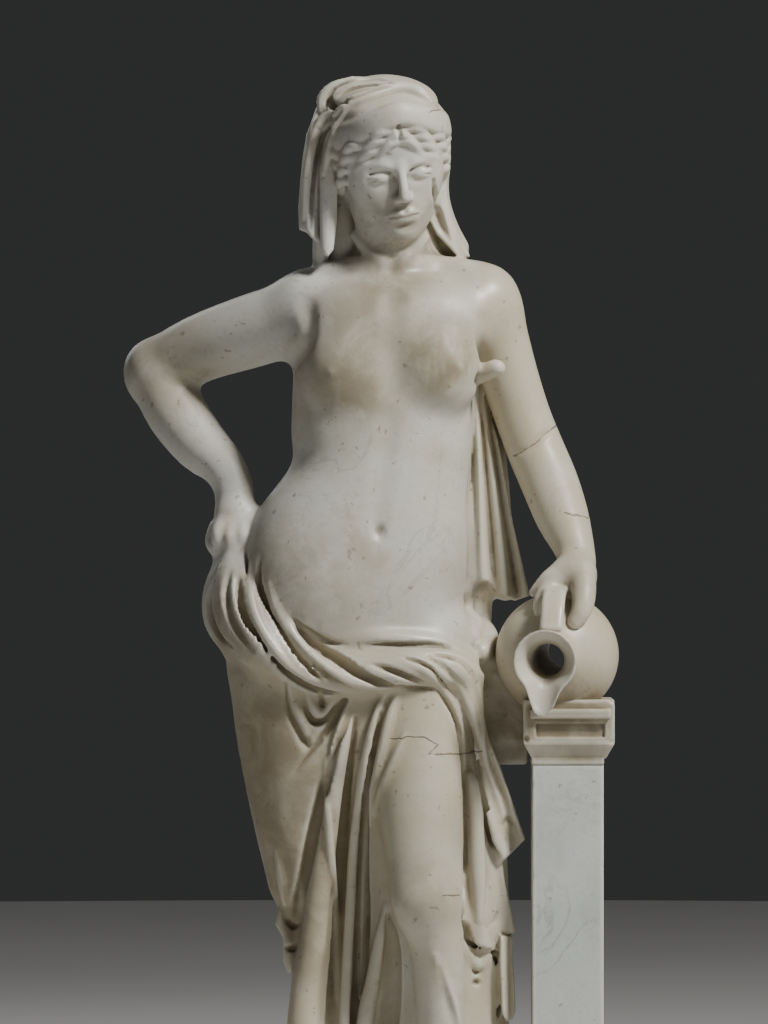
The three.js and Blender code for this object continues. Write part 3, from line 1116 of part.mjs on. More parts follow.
function veilFolds(clay) {
  // The front edge of the veil over the diadem.
  ridge(clay, [[-166, 1672, 0.7], [-158, 1694], [-140, 1713], [-118, 1721], [-98, 1729], [-76, 1736],
    [-56, 1735], [-40, 1729], [-24, 1716, 0.7]], 11, 9, { k: 2.5 });
  groove(clay, [[-156, 1702, 0.6], [-176, 1678, 1], [-190, 1650, 1.1], [-197, 1612, 1],
    [-200, 1560, 0.8], [-202, 1530, 0.5]], 5.5, 8, { k: 3.5 });
  ridge(clay, [[-166, 1706, 0.5], [-186, 1690, 1], [-196, 1664, 1.1], [-204, 1630, 1.1],
    [-208, 1590, 1], [-211, 1545, 0.8]], 7, 6, { k: 3.5 });
  ridge(clay, [[-170, 1668, 0.5], [-175, 1640, 1], [-181, 1612, 0.8]], 6, 5, { k: 3 });
  // The swirl of gathered cloth at the top.
  groove(clay, [[-136, 1751, 0.4], [-162, 1741, 1], [-175, 1727, 1.1], [-178, 1712, 0.9]],
    4.5, 8, { k: 3 });
  ridge(clay, [[-138, 1755, 0.5], [-168, 1742, 1], [-184, 1724, 1.1], [-186, 1706, 0.9]],
    7, 6, { k: 3 });
  groove(clay, [[-166, 1736, 0.7], [-172, 1720, 1], [-163, 1709, 1], [-146, 1714, 0.6]],
    6, 11, { k: 3 });
  groove(clay, [[-160, 1726, 0.5], [-138, 1736, 1], [-106, 1742, 1], [-76, 1744, 0.5]],
    4, 7, { k: 2.5 });
  groove(clay, [[-156, 1713, 0.4], [-136, 1722, 1], [-108, 1733, 1], [-80, 1740, 0.6]],
    4, 6, { k: 2.5 });
  groove(clay, [[-140, 1748, 0.4], [-112, 1753, 1], [-76, 1748, 0.5]], 4, 5, { k: 3 });
  // Hollow of the right fall, and the notched hem of the left one.
  groove(clay, [[-18, 1600, 0.4], [-14, 1565, 1], [-6, 1535, 1.1], [8, 1512, 0.7]], 7, 7, { k: 5 });
}

function handle(clay) {
  for (const s of [-11, 0, 11]) {
    clay.limb([[164 + s, -46, 974, 6.5], [163 + s, -84, 986, 6.5], [161 + s, -124, 984, 6.5],
      [158 + s, -152, 966, 6.5], [155 + s, -170, 934, 6.5]], { k: 8 });
  }
}

function feet(clay) {
  // Toes of both feet under the hem.
  for (const s of [-1, 1]) {
    const x = -84 + s * 104;
    for (let i = 0; i < 4; i += 1) {
      clay.limb([[x + s * (i * 17 - 30), -120 + i * 5, 112, 15 - i],
        [x + s * (i * 18 - 31), -146 + i * 9, 104, 12 - i],
        [x + s * (i * 18.5 - 31), -158 + i * 11, 99, 10.5 - i]], { k: 5 });
    }
    clay.limb([[x - s * 2, -60, 130, 46], [x - s * 2, -100, 112, 40]], { k: 14, flat: [[0, 0, 1],
      0.75] });
  }
}

function strut(clay) {
  clay.box([76, -6, 786], [48, 34, 58], { r: 6, k: 8 });
  clay.box([104, -10, 812], [36, 30, 54], { r: 8, k: 8 });
  clay.box([84, -10, 856], [44, 24, 34], { r: 12, k: 12 });
  clay.blob([74, -46, 806], [16, 10, 40], { k: 8, cut: true });
  // Broken stub at the arm pit.
  clay.limb([[44, -36, 1308, 15], [58, -50, 1314, 15], [76, -60, 1321, 14]],
    { k: 8, flat: [[0.3, 0, 1], 0.85] });


}

// A closed body from level rings: each ring is a list of points, the ends are capped.
function ringBody(rings) {
  const n = rings[0].length;
  const middle = (ring) => [0, 1, 2].map((i) => ring.reduce((sum, p) => sum + p[i], 0) / n);
  const points = [...rings.flat(), middle(rings[0]), middle(rings[rings.length - 1])];
  const index = [];
  for (let j = 0; j < n; j += 1) {
    const next = (j + 1) % n;
    for (let i = 0; i + 1 < rings.length; i += 1) {
      const [a, b, c, d] = [i * n + j, i * n + next, (i + 1) * n + next, (i + 1) * n + j];
      index.push(a, b, c, a, c, d);
    }
    index.push(rings.length * n, next, j);
    const last = (rings.length - 1) * n;
    index.push(rings.length * n + 1, last + j, last + next);
  }
  const geometry = new THREE.BufferGeometry();
  geometry.setAttribute("position", new THREE.Float32BufferAttribute(points.flat(), 3));
  geometry.setIndex(index);
  return geometry;
}

// Everything round on the jug sits on one axis that points at the viewer, a little aside and down.
// Rows are [distance along the axis, radius, share of the pouring lip].
function jugTurned(rows, sides) {
  const ahead = [Math.sin(rad(JUG_YAW)), -Math.cos(rad(JUG_YAW)), -0.05];
  const aside = [Math.cos(rad(JUG_YAW)), Math.sin(rad(JUG_YAW)), 0];
  return ringBody(rows.map(([reach, radius, lip]) => {
    const ring = [];
    for (let i = 0; i < sides; i += 1) {
      const a = (i * 2 * Math.PI) / sides;
      let off = a - rad(LIP_ANGLE);
      off = Math.atan2(Math.sin(off), Math.cos(off));
      const r = radius + lip * LIP_REACH * Math.exp(-((off / 0.36) ** 2));
      ring.push(JUG_CENTRE.map((v, q) => {
        return v + ahead[q] * reach + aside[q] * r * Math.cos(a) + (q === 2 ? r * Math.sin(a) : 0);
      }));
    }
    return ring;
  }));
}

function jugBody() {
  const rows = [];
  for (let i = 1; i < 14; i += 1) {
    const a = rad(-90 + (i * 150) / 14);
    rows.push([JUG_RADIUS * Math.sin(a), JUG_RADIUS * Math.cos(a), 0]);
  }
  rows.push([88, 44, 0], [100, 39, 0], [114, 38, 0.08], [126, 41, 0.4], [135, 46, 0.9], [139, 47, 1]);
  return jugTurned(rows, 44);
}

// The throat and the pipe hole: a funnel at the mouth, then a round bore right through the belly.
function jugHollow() {
  return jugTurned([[-110, BORE_RADIUS, 0], [104, BORE_RADIUS, 0], [112, 26, 0.03],
    [124, 31, 0.3], [134, 39, 0.85], [140, 43, 1.02], [150, 49, 1.1]], 32);
}

function slab(width, depth, low, high, x, y) {
  const geometry = new THREE.BoxGeometry(width, depth, high - low);
  geometry.translate(x, y, (low + high) / 2);
  return geometry;
}

// A square-sided block from rows [height, left, right, half depth].
function stack(rows) {
  return ringBody(rows.map(([z, left, right, half]) => [
    [left, PILLAR_Y - half, z], [right, PILLAR_Y - half, z],
    [right, PILLAR_Y + half, z], [left, PILLAR_Y + half, z],
  ]));
}

// The capital: fillet, sloping bed and a tall flat block with a sunk panel in front.
function capitalBlock() {
  return stack([[CAPITAL_FOOT, 128, 235, 55], [740, 128, 235, 55], [740.5, 127, 238, 56],
    [752, 121, 247, 62], [763, 117, 252, CAPITAL_HALF], [CAPITAL_TOP, 117, 253, CAPITAL_HALF]]);
}

// Joining and cutting the closed bodies.
const wasm = await Module();
wasm.setup();

function solidFrom(geometry) {
  const bare = new THREE.BufferGeometry();
  bare.setAttribute("position", geometry.getAttribute("position").clone());
  if (geometry.index) bare.setIndex(geometry.index.clone());
  const joined = mergeVertices(bare, 1e-3);
  const index = joined.index.array;
  const place3 = joined.getAttribute("position").array;
  const keep = [];
  for (let i = 0; i < index.length; i += 3) {
    const [a, b, c] = [index[i], index[i + 1], index[i + 2]];
    if (a !== b && b !== c && c !== a) keep.push(a, b, c);
  }
  const mesh = new wasm.Mesh({
    numProp: 3,
    vertProperties: new Float32Array(place3),
    triVerts: new Uint32Array(keep),
  });
  mesh.merge();
  return new wasm.Manifold(mesh);
}

function geometryFrom(solid) {
  const mesh = solid.getMesh();
  const geometry = new THREE.BufferGeometry();
  geometry.setAttribute("position", new THREE.BufferAttribute(new Float32Array(mesh.vertProperties), 3));
  geometry.setIndex(new THREE.BufferAttribute(new Uint32Array(mesh.triVerts), 1));
  geometry.computeVertexNormals();
  return geometry;
}

function carvedFigure() {
  const clay = new Clay(ROOM_LOW, ROOM_HIGH, LATTICE);
  torso(clay);
  armRight(clay);
  armLeft(clay);
  bodyLines(clay);
  skirt(clay);
  veilCurtain(clay);
  hands(clay);
  flap(clay);
  roll(clay);
  skirtFolds(clay);
  rollFolds(clay);
  head(clay);
  diadem(clay);
  hair(clay);
  veil(clay);
  veilFolds(clay);
  face(clay);
  strut(clay);
  feet(clay);
  handle(clay);
  const skin = skinOf(clay);
  relax(clay, skin, 3);
  // Faces are kept closest on the head and spared a little near the feet.
  const care = (x, y, z) => {
    if (z > HEAD_LEVEL && y < 20) return 5;
    return z < FOOT_LEVEL ? 0.8 : 1;
  };
  const thin = thinOut(skin, FACE_BUDGET, care);
  const geometry = new THREE.BufferGeometry();
  geometry.setAttribute("position", new THREE.Float32BufferAttribute(thin.points.flat(), 3));
  geometry.setIndex(thin.faces.flat());
  return geometry;
}

function figureBlock() {
  const additions = [
    jugBody(),
    slab(BASE_WIDTH, BASE_DEPTH, 0, BASE_HEIGHT, 0, 0),
    capitalBlock(),
  ];
  const cuts = [
    jugHollow(),
    slab(PANEL_WIDTH, PANEL_DEPTH * 2, PANEL_LOW, PANEL_HIGH, CAPITAL_X, PILLAR_Y - CAPITAL_HALF),
  ];
  let solid = solidFrom(carvedFigure());
  for (const geometry of additions) solid = solid.add(solidFrom(geometry));
  for (const geometry of cuts) solid = solid.subtract(solidFrom(geometry));
  // Thinning can leave a loose crumb: only the largest body is the statue.
  return solid.decompose().sort((a, b) => b.volume() - a.volume())[0];
}

const figure = new THREE.Mesh(
  geometryFrom(figureBlock()),
  new THREE.MeshStandardMaterial({ color: 0xcfc9b8, roughness: 0.5, metalness: 0 }),
);
figure.name = "figure";

const shaft = new THREE.Mesh(
  slab(SHAFT_WIDTH, SHAFT_DEPTH, BASE_HEIGHT + JOINT_GAP, SHAFT_TOP, PILLAR_X, PILLAR_Y),
  new THREE.MeshStandardMaterial({ color: 0xc6cbc6, roughness: 0.55, metalness: 0 }),
);
shaft.name = "pillar_shaft";

const group = new THREE.Group();
group.name = "statue";
group.add(figure, shaft);

export default group;
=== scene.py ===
"""A veiled woman with a cloak round her hips, pouring from a jug that lies on a pillar: aged marble.

Every carved form is a rounded shape in one soft field, in millimetres. The field's skin is taken on
a close lattice, thinned and given marble. The low base, the capital and the jug are sharper pieces
of the same block. The pillar's shaft is a block of its own.
"""

import math

import bmesh
import bpy
import numpy as np
import openvdb
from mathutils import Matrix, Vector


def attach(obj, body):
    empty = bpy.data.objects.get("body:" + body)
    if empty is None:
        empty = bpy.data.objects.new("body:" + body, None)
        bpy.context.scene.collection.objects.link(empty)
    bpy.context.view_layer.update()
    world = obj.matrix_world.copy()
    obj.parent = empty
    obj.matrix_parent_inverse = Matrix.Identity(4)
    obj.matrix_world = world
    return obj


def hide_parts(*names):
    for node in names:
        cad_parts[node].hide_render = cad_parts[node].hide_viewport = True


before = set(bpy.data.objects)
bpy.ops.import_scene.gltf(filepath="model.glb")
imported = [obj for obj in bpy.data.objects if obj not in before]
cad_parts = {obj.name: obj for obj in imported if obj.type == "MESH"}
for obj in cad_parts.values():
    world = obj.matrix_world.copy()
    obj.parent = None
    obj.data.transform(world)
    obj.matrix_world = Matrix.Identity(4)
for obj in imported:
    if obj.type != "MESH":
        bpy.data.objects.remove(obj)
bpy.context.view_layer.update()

MM = 0.001
# Lattice steps (mm) and the number of triangles that the figure keeps.
STEP = 3.0
HEAD_STEP = 1.25
FINE_STEP = 1.5
SHAFT_STEP = 2.0
FIGURE_FACES = 190000
# How strongly the thinning spares the head and the chest, and the weight of each (1 is not spared).
HEAD_CARE = 6e-6
HEAD_WEIGHT = 0.1
CHEST_WEIGHT = 0.8
# The rooms that the clay is worked in, as their low and high corners (mm).
FIGURE_ROOM = ((-500, -215, 78), (256, 215, 1776))
HEAD_ROOM = ((-232, -142, 1470), (60, 150, 1774))
# The finer head is laid on this far inside its room, and eases into the rest over a border (mm).
HEAD_EDGE = 8
HEAD_BORDER = 12
BASE = (550, 390, 90)
PILLAR = (182, -40)
# Distances are kept up to FAR, in single precision.
F = np.float32
FAR = 60.0
# Strokes start in front of the figure, reach this far back and are laid in pieces of this length.
STROKE_START = -290.0
STROKE_REACH = 560.0
STROKE_PIECE = 9.0
# How much a column's folds may add, and what keeps a division from dividing by nothing.
FOLD_ROOM = 40
TINY = 1e-9


# The sculpting kit --------------------------------------------------------------------------------
def spline(points, steps):
    """A smooth curve (Catmull-Rom) through rows of numbers, with so many steps per span."""
    points = np.asarray(points, float)
    if len(points) == 2:
        t = np.linspace(0, 1, steps + 1)[:, None]
        return points[0] * (1 - t) + points[1] * t
    rows = np.vstack([2 * points[0] - points[1], points, 2 * points[-1] - points[-2]])
    out = []
    for i in range(1, len(rows) - 2):
        t = np.arange(steps)[:, None] / steps
        a, b, c, d = rows[i - 1:i + 3]
        bend = 2 * b + (c - a) * t + (2 * a - 5 * b + 4 * c - d) * t**2
        out.append(0.5 * (bend + (3 * b - a - 3 * c + d) * t**3))
    out.append(rows[-2][None])
    return np.vstack(out)


def soft_min(a, b, k):
    """The smaller of two distances, rounded over the width k where they cross."""
    if k <= 0:
        return np.minimum(a, b)
    near = np.maximum(k - np.abs(a - b), 0) / k
    return np.minimum(a, b) - near * near * (k * 0.25)


def rotation(yaw=0, pitch=0, roll=0):
    """Matrix: roll about Y, then pitch about X, then yaw about Z (degrees)."""
    y, p, r = np.radians([yaw, pitch, roll])
    about_z = np.array([[np.cos(y), -np.sin(y), 0], [np.sin(y), np.cos(y), 0], [0, 0, 1]])
    about_x = np.array([[1, 0, 0], [0, np.cos(p), -np.sin(p)], [0, np.sin(p), np.cos(p)]])
    about_y = np.array([[np.cos(r), 0, np.sin(r)], [0, 1, 0], [-np.sin(r), 0, np.cos(r)]])
    return about_z @ about_x @ about_y


def empty(room):
    """Whether a room holds no point of the lattice."""
    return any(span.start >= span.stop for span in room)


class Clay:
    """Signed distances (mm) to the skin on an even lattice. k is how softly a shape joins the rest."""

    def __init__(self, low, high, step):
        self.low = np.array(low, float)
        self.high = high
        self.step = step
        self.count = np.ceil((np.array(high) - self.low) / step).astype(int) + 1
        self.axes = [(self.low[i] + step * np.arange(self.count[i])).astype(F) for i in range(3)]
        self.field = np.full(self.count, FAR, F)

    def window(self, low, high):
        start = np.clip(np.floor((np.asarray(low) - self.low) / self.step).astype(int), 0, self.count)
        stop = np.clip(np.ceil((np.asarray(high) - self.low) / self.step).astype(int) + 1, 0, self.count)
        return tuple(slice(int(i), int(j)) for i, j in zip(start, stop))

    def places(self, room):
        x, y, z = (axis[span] for axis, span in zip(self.axes, room))
        return x[:, None, None], y[None, :, None], z[None, None, :]

    def around(self, room, centre):
        x, y, z = self.places(room)
        return x - centre[0], y - centre[1], z - centre[2]

    def put(self, room, distance, k, cut):
        if cut:
            self.field[room] = -soft_min(-self.field[room], distance, k)
        else:
            self.field[room] = soft_min(self.field[room], distance, k)

    def margin(self, k):
        return k + 3.5 * self.step

    def blob(self, centre, radii, k=12, turn=None, cut=False):
        """An ellipsoid, turned by a matrix."""
        radii = np.broadcast_to(np.asarray(radii, float), 3)
        turn = np.eye(3) if turn is None else turn
        reach = np.sqrt(((turn * radii) ** 2).sum(1)) + self.margin(k)
        room = self.window(np.array(centre) - reach, np.array(centre) + reach)
        if empty(room):
            return
        x, y, z = self.around(room, centre)
        own = [turn[0, i] * x + turn[1, i] * y + turn[2, i] * z for i in range(3)]
        near = np.sqrt(sum((own[i] / radii[i]) ** 2 for i in range(3)))
        slope = np.sqrt(sum((own[i] / radii[i] ** 2) ** 2 for i in range(3))) + TINY
        self.put(room, (near * (near - 1) / slope).astype(F), k, cut)

    def limb(self, points, k=10, cut=False, pieces=None, flat=None):
        """A round bar through rows (x, y, z, radius); flat=(axis, scale) squeezes it along the axis."""
        rows = np.asarray(points, float)
        length = np.linalg.norm(np.diff(rows[:, :3], axis=0), axis=1).sum()
        if len(rows) == 2:
            pieces = 1 if flat is None else 2
        elif pieces is None:
            size = max(7.0, 0.45 * rows[:, 3].mean())
            pieces = max(2, int(np.ceil(length / size / max(1, len(rows) - 1))))
        path = spline(rows, pieces)
        margin = self.margin(k)
        low = (path[:, :3] - path[:, 3:]).min(0) - margin
        high = (path[:, :3] + path[:, 3:]).max(0) + margin
        room = self.window(low, high)
        if empty(room):
            return
        found = np.full([span.stop - span.start for span in room], FAR, F)
        if flat is not None:
            axis = np.asarray(flat[0], float)
            axis = axis / np.linalg.norm(axis)
            stretch = 1 / flat[1] - 1
        for a, b in zip(path[:-1], path[1:]):
            low = np.minimum(a[:3] - a[3], b[:3] - b[3]) - margin
            high = np.maximum(a[:3] + a[3], b[:3] + b[3]) + margin
            part = self.window(low, high)
            if empty(part):
                continue
            x, y, z = self.around(part, a)
            along = b[:3] - a[:3]
            if flat is not None:
                push = (x * axis[0] + y * axis[1] + z * axis[2]) * stretch
                x = x + push * axis[0]
                y = y + push * axis[1]
                z = z + push * axis[2]
                along = along + (along @ axis) * stretch * axis
            square = along @ along + TINY
            t = np.clip((x * along[0] + y * along[1] + z * along[2]) / square, 0, 1)
            away = (x - t * along[0]) ** 2 + (y - t * along[1]) ** 2 + (z - t * along[2]) ** 2
            away = np.sqrt(away) - (a[3] + t * (b[3] - a[3]))
            inner = tuple(slice(i.start - j.start, i.stop - j.start) for i, j in zip(part, room))
            found[inner] = np.minimum(found[inner], away)
        self.put(room, found, k, cut)

    def column(self, rows, k=15, cap=10, fold=None):
        """An upright body through rows (z, middle x, middle y, half width, front, back, squareness).

        The rows go from low to high, and fold(angle, z) adds to the radius.
        """
        rows = np.asarray(rows, float)
        path = spline(rows, 8)
        z0, z1 = rows[0, 0], rows[-1, 0]
        margin = self.margin(k)
        extra = 0 if fold is None else FOLD_ROOM
        middle_x, middle_y, half, front, back = path[:, 1:6].T
        low = [(middle_x - half).min(), (middle_y - front).min(), z0 + extra]
        high = [(middle_x + half).max(), (middle_y + back).max(), z1 - extra]
        room = self.window(np.array(low) - margin - extra, np.array(high) + margin + extra)
        x, y, z = self.places(room)
        level = np.clip(z.ravel(), z0, z1)
        here = [np.interp(level, path[:, 0], path[:, i]).astype(F)[None, None, :] for i in range(1, 7)]
        middle_x, middle_y, half, front, back, power = here
        dx, dy = x - middle_x, y - middle_y
        deep = np.where(dy < 0, front, back)
        share = ((np.abs(dx) / half) ** power + (np.abs(dy) / deep) ** power) ** (1 / power)
        radius = np.sqrt(dx * dx + dy * dy)
        distance = radius * (1 - 1 / np.maximum(share, 1e-3))
        distance = np.where(share < 1e-3, -np.minimum(half, deep), distance)
        if fold is not None:
            distance = distance - fold(np.arctan2(dx, -dy), z)
        distance = -soft_min(-distance, -np.maximum(z - z1, z0 - z), cap)
        self.put(room, distance.astype(F), k, False)

    def box(self, centre, half, r=4, k=4, cut=False):
        """A block of the given half sizes with edges rounded to r."""
        half = np.asarray(half, float)
        reach = half + self.margin(k)
        room = self.window(np.array(centre) - reach, np.array(centre) + reach)
        if empty(room):
            return
        over = [np.abs(v) - size + r for v, size in zip(self.around(room, centre), half)]
        out = np.sqrt(sum(np.maximum(v, 0) ** 2 for v in over))
        distance = out + np.minimum(np.maximum(np.maximum(over[0], over[1]), over[2]), 0) - r
        self.put(room, distance.astype(F), k, cut)

    def panel(self, outline, depth, half=10, k=6, r=4):
        """Hanging cloth: cut to an outline of (x, z) seen from the front; depth(x, z) is its middle."""
        points = np.asarray(outline, float)
        margin = self.margin(k)
        low = [points[:, 0].min() - margin, -150, points[:, 1].min() - margin]
        high = [points[:, 0].max() + margin, 110, points[:, 1].max() + margin]
        room = self.window(low, high)
        if empty(room):
            return
        all_x, all_y, all_z = self.places(room)
        x, z = all_x[:, 0, :], all_z[:, 0, :]
        near = np.full(np.broadcast(x, z).shape, 1e9)
        side = np.ones(near.shape)
        for a, b in zip(points, np.roll(points, -1, axis=0)):
            edge = b - a
            u, v = x - a[0], z - a[1]
            t = np.clip((u * edge[0] + v * edge[1]) / (edge @ edge), 0, 1)
            near = np.minimum(near, (u - t * edge[0]) ** 2 + (v - t * edge[1]) ** 2)
            above, below, left = z >= a[1], z < b[1], edge[0] * v > edge[1] * u
            side = np.where((above & below & left) | (~above & ~below & ~left), -side, side)
        flat = (side * np.sqrt(near))[:, None, :]
        thick = np.abs(all_y - depth(all_x, all_z)) - half
        self.put(room, (-soft_min(-flat, -thick, r)).astype(F), k, False)

    def shape(self, low, high, depth, k=8, cut=False):
        """Any shape: depth(x, y, z) gives its distance within the room."""
        room = self.window(np.array(low) - self.margin(k), np.array(high) + self.margin(k))
        self.put(room, depth(*self.places(room)).astype(F), k, cut)

    def sample(self, points):
        """The field at any points, read between the lattice's own."""
        at = (points - self.low) / self.step
        at = np.clip(at, 0, self.count - 1.001)
        cell = at.astype(int)
        x, y, z = cell.T
        u, v, w = (at - cell).T
        field = self.field

        def row(dx, dy):
            return field[x + dx, y + dy, z] * (1 - w) + field[x + dx, y + dy, z + 1] * w

        return (row(0, 0) * (1 - v) + row(0, 1) * v) * (1 - u) + (row(1, 0) * (1 - v) + row(1, 1) * v) * u

    def touch(self, start, way, reach):
        """The first skin met from each start along its way; NaN where there is none."""
        count = int(reach / (self.step * 0.6)) + 1
        t = np.linspace(0, reach, count)
        points = start[:, None, :] + way[:, None, :] * t[None, :, None]
        value = self.sample(points.reshape(-1, 3)).reshape(len(start), count)
        inside = value < 0
        hit = inside.argmax(1)
        ok = inside.any(1) & (hit > 0)
        after = np.maximum(hit, 1)
        each = np.arange(len(start))
        a, b = value[each, after - 1], value[each, after]
        far = t[after - 1] + (t[1] - t[0]) * a / (a - b + TINY)
        out = start + way * far[:, None]
        out[~ok] = np.nan
        return out

    def stroke(self, rows, k=6, cut=False):
        """A bar laid along the front of the carving through rows (x, z, radius, lift)."""
        rows = np.asarray(rows, float)
        length = np.linalg.norm(np.diff(rows[:, :2], axis=0), axis=1).sum()
        path = spline(rows, max(2, int(np.ceil(length / STROKE_PIECE / (len(rows) - 1)))))
        start = np.stack([path[:, 0], np.full(len(path), STROKE_START), path[:, 1]], 1)
        way = np.tile([0, 1.0, 0], (len(path), 1))
        hit = self.touch(start, way, STROKE_REACH)
        depth = ((hit - start) * way).sum(1)
        ok = ~np.isnan(depth)
        if not ok.any():
            return
        index = np.arange(len(depth))
        depth = np.interp(index, index[ok], depth[ok])
        for _ in range(2):
            wide = np.pad(depth, 1, mode="edge")
            depth = (wide[:-2] + 2 * wide[1:-1] + wide[2:]) / 4
        radius, lift = path[:, 2], path[:, 3]
        offset = lift - radius if cut else radius - lift
        middle = start + way * (depth + offset)[:, None]
        self.limb(np.column_stack([middle, np.maximum(radius, 0.5)]), k=k, cut=cut, pieces=1)

    def soften(self, times):
        """Evens the field out by averaging it with its neighbours along each axis."""
        field = self.field
        for _ in range(times):
            for axis in range(3):
                before, here, after = [slice(None)] * 3, [slice(None)] * 3, [slice(None)] * 3
                before[axis] = slice(0, -2)
                here[axis] = slice(1, -1)
                after[axis] = slice(2, None)
                before, here, after = tuple(before), tuple(here), tuple(after)
                field[here] = 0.25 * field[before] + 0.5 * field[here] + 0.25 * field[after]


def line(c, path, radius, lift, k, cut):
    """A fold along rows (x, z) or (x, z, size): full in the middle, dying out at the ends."""
    rows = np.array([list(row) + [1.0] * (3 - len(row)) for row in path], float)
    full = np.ones(len(rows))
    full[[0, -1]] = 0.35
    size = rows[:, 2]
    wide = radius * size * (0.45 + 0.55 * full)
    c.stroke(np.column_stack([rows[:, 0], rows[:, 1], wide, lift * size * full]), k=k, cut=cut)


def ridge(c, path, radius, lift, k=6):
    line(c, path, radius, lift, k, False)


def groove(c, path, radius, lift, k=5):
    line(c, path, radius, lift, k, True)


# Body
def torso(c):
    c.column([
        [840, -118, 4, 150, 108, 118, 2.2],
        [900, -132, 4, 158, 110, 122, 2.2],
        [960, -137, 4, 160, 114, 124, 2.2],
        [1010, -136, 5, 159, 117, 122, 2.2],
        [1048, -134, 6, 157, 117, 116, 2.2],
        [1108, -121, 6, 149, 113, 102, 2.2],
        [1176, -97, 6, 134, 109, 92, 2.25],
        [1228, -94.5, 6, 136, 106, 92, 2.3],
        [1303, -93, 6, 135, 104, 98, 2.4],
        [1363, -92, 8, 133, 100, 102, 2.4],
        [1410, -84, 12, 124, 82, 98, 2.3],
        [1446, -80, 16, 100, 60, 82, 2.1],
        [1474, -80, 20, 58, 32, 58, 2.0],
    ], k=10, cap=34)
    c.blob([-190, 18, 1404], [64, 58, 60], k=46)
    c.blob([42, 16, 1412], [64, 58, 62], k=46)
    c.limb([[-205, 22, 1420, 42], [-140, 26, 1452, 32], [-108, 28, 1470, 28]], k=30)
    c.limb([[60, 22, 1432, 40], [5, 26, 1456, 32], [-52, 28, 1470, 28]], k=30)
    c.limb([[-79, 18, 1446, 58], [-80, 14, 1486, 53], [-83, 6, 1526, 51], [-87, -4, 1572, 51]], k=24)
    # breasts, belly, mound, hip
    c.blob([-122, -40, 1376], [86, 48, 70], k=36)
    c.blob([-32, -40, 1380], [86, 48, 70], k=36)
    c.blob([-138, -58, 1312], [70, 52, 70], k=18)
    c.blob([-14, -58, 1314], [66, 52, 70], k=18)
    c.blob([-112, -30, 1046], [124, 71, 120], k=66)
    c.blob([-206, -10, 1000], [76, 88, 96], k=90)


def body_lines(c):
    c.stroke([[-78, 1440, 34, 0.2], [-78, 1390, 34, 0.5], [-78, 1335, 30, 0.6], [-80, 1285, 26, 0.3]],
        k=8, cut=True)
    c.stroke([[-84, 1250, 32, 0.2], [-88, 1200, 34, 0.6], [-94, 1150, 34, 0.6], [-98, 1105, 28, 0.4]],
        k=8, cut=True)
    c.stroke([[-101, 1086, 8, 3], [-99, 1078, 9, 9], [-97, 1069, 8, 3]], k=6, cut=True)
    c.stroke([[-169, 1315, 6, 1.4], [-167, 1313, 6, 1.4]], k=6)
    c.stroke([[19, 1322, 6, 1.2], [21, 1320, 6, 1.2]], k=6)
    # collar bones and pit of the neck
    c.stroke([[-98, 1474, 14, 0.5], [-130, 1470, 15, 2.5], [-176, 1464, 15, 0.5]], k=14)
    c.stroke([[-60, 1474, 14, 0.5], [-24, 1473, 15, 2.5], [26, 1468, 15, 0.5]], k=14)
    c.stroke([[-79, 1480, 11, 2], [-78, 1471, 12, 2]], k=9, cut=True)
    # the long muscles of the neck
    c.stroke([[-133, 1520, 8, 0.5], [-112, 1496, 8, 2], [-88, 1476, 8, 1.2]], k=9)
    c.stroke([[-32, 1518, 8, 0.5], [-50, 1496, 8, 1.6], [-70, 1476, 8, 1.2]], k=9)
    # arm pits and the small bruises on the chest
    c.stroke([[-214, 1420, 18, 0.2], [-211, 1396, 18, 0.6], [-212, 1370, 17, 1.4], [-218, 1346, 15, 3],
        [-230, 1328, 12, 3]], k=10, cut=True)
    c.stroke([[62, 1392, 12, 0.5], [58, 1366, 12, 3], [54, 1335, 12, 4], [50, 1300, 10, 4]],
        k=10, cut=True)
    c.stroke([[-146, 1291, 4, 0.6], [-140, 1287, 4, 0.4]], k=3, cut=True)


def arm_right(c):
    c.limb([[-205, 20, 1404, 57], [-250, 38, 1391, 56], [-300, 62, 1376, 55], [-370, 96, 1353, 51],
        [-434, 126, 1320, 48]], k=26)
    c.blob([-436, 128, 1318], [49, 46, 50], k=14)
    c.limb([[-430, 120, 1305, 47], [-405, 100, 1255, 46], [-369, 70, 1208, 42], [-337, 45, 1178, 34],
        [-319, 32, 1145, 30], [-314, 24, 1110, 31]], k=14)


def arm_left(c):
    c.limb([[54, 16, 1414, 54], [68, 20, 1394, 51], [82, 24, 1358, 46], [98, 26, 1308, 43],
        [117, 28, 1250, 42], [136, 24, 1200, 43], [157, 10, 1150, 43], [175, -10, 1100, 40],
        [190, -34, 1060, 32], [198, -54, 1032, 27]], k=22)


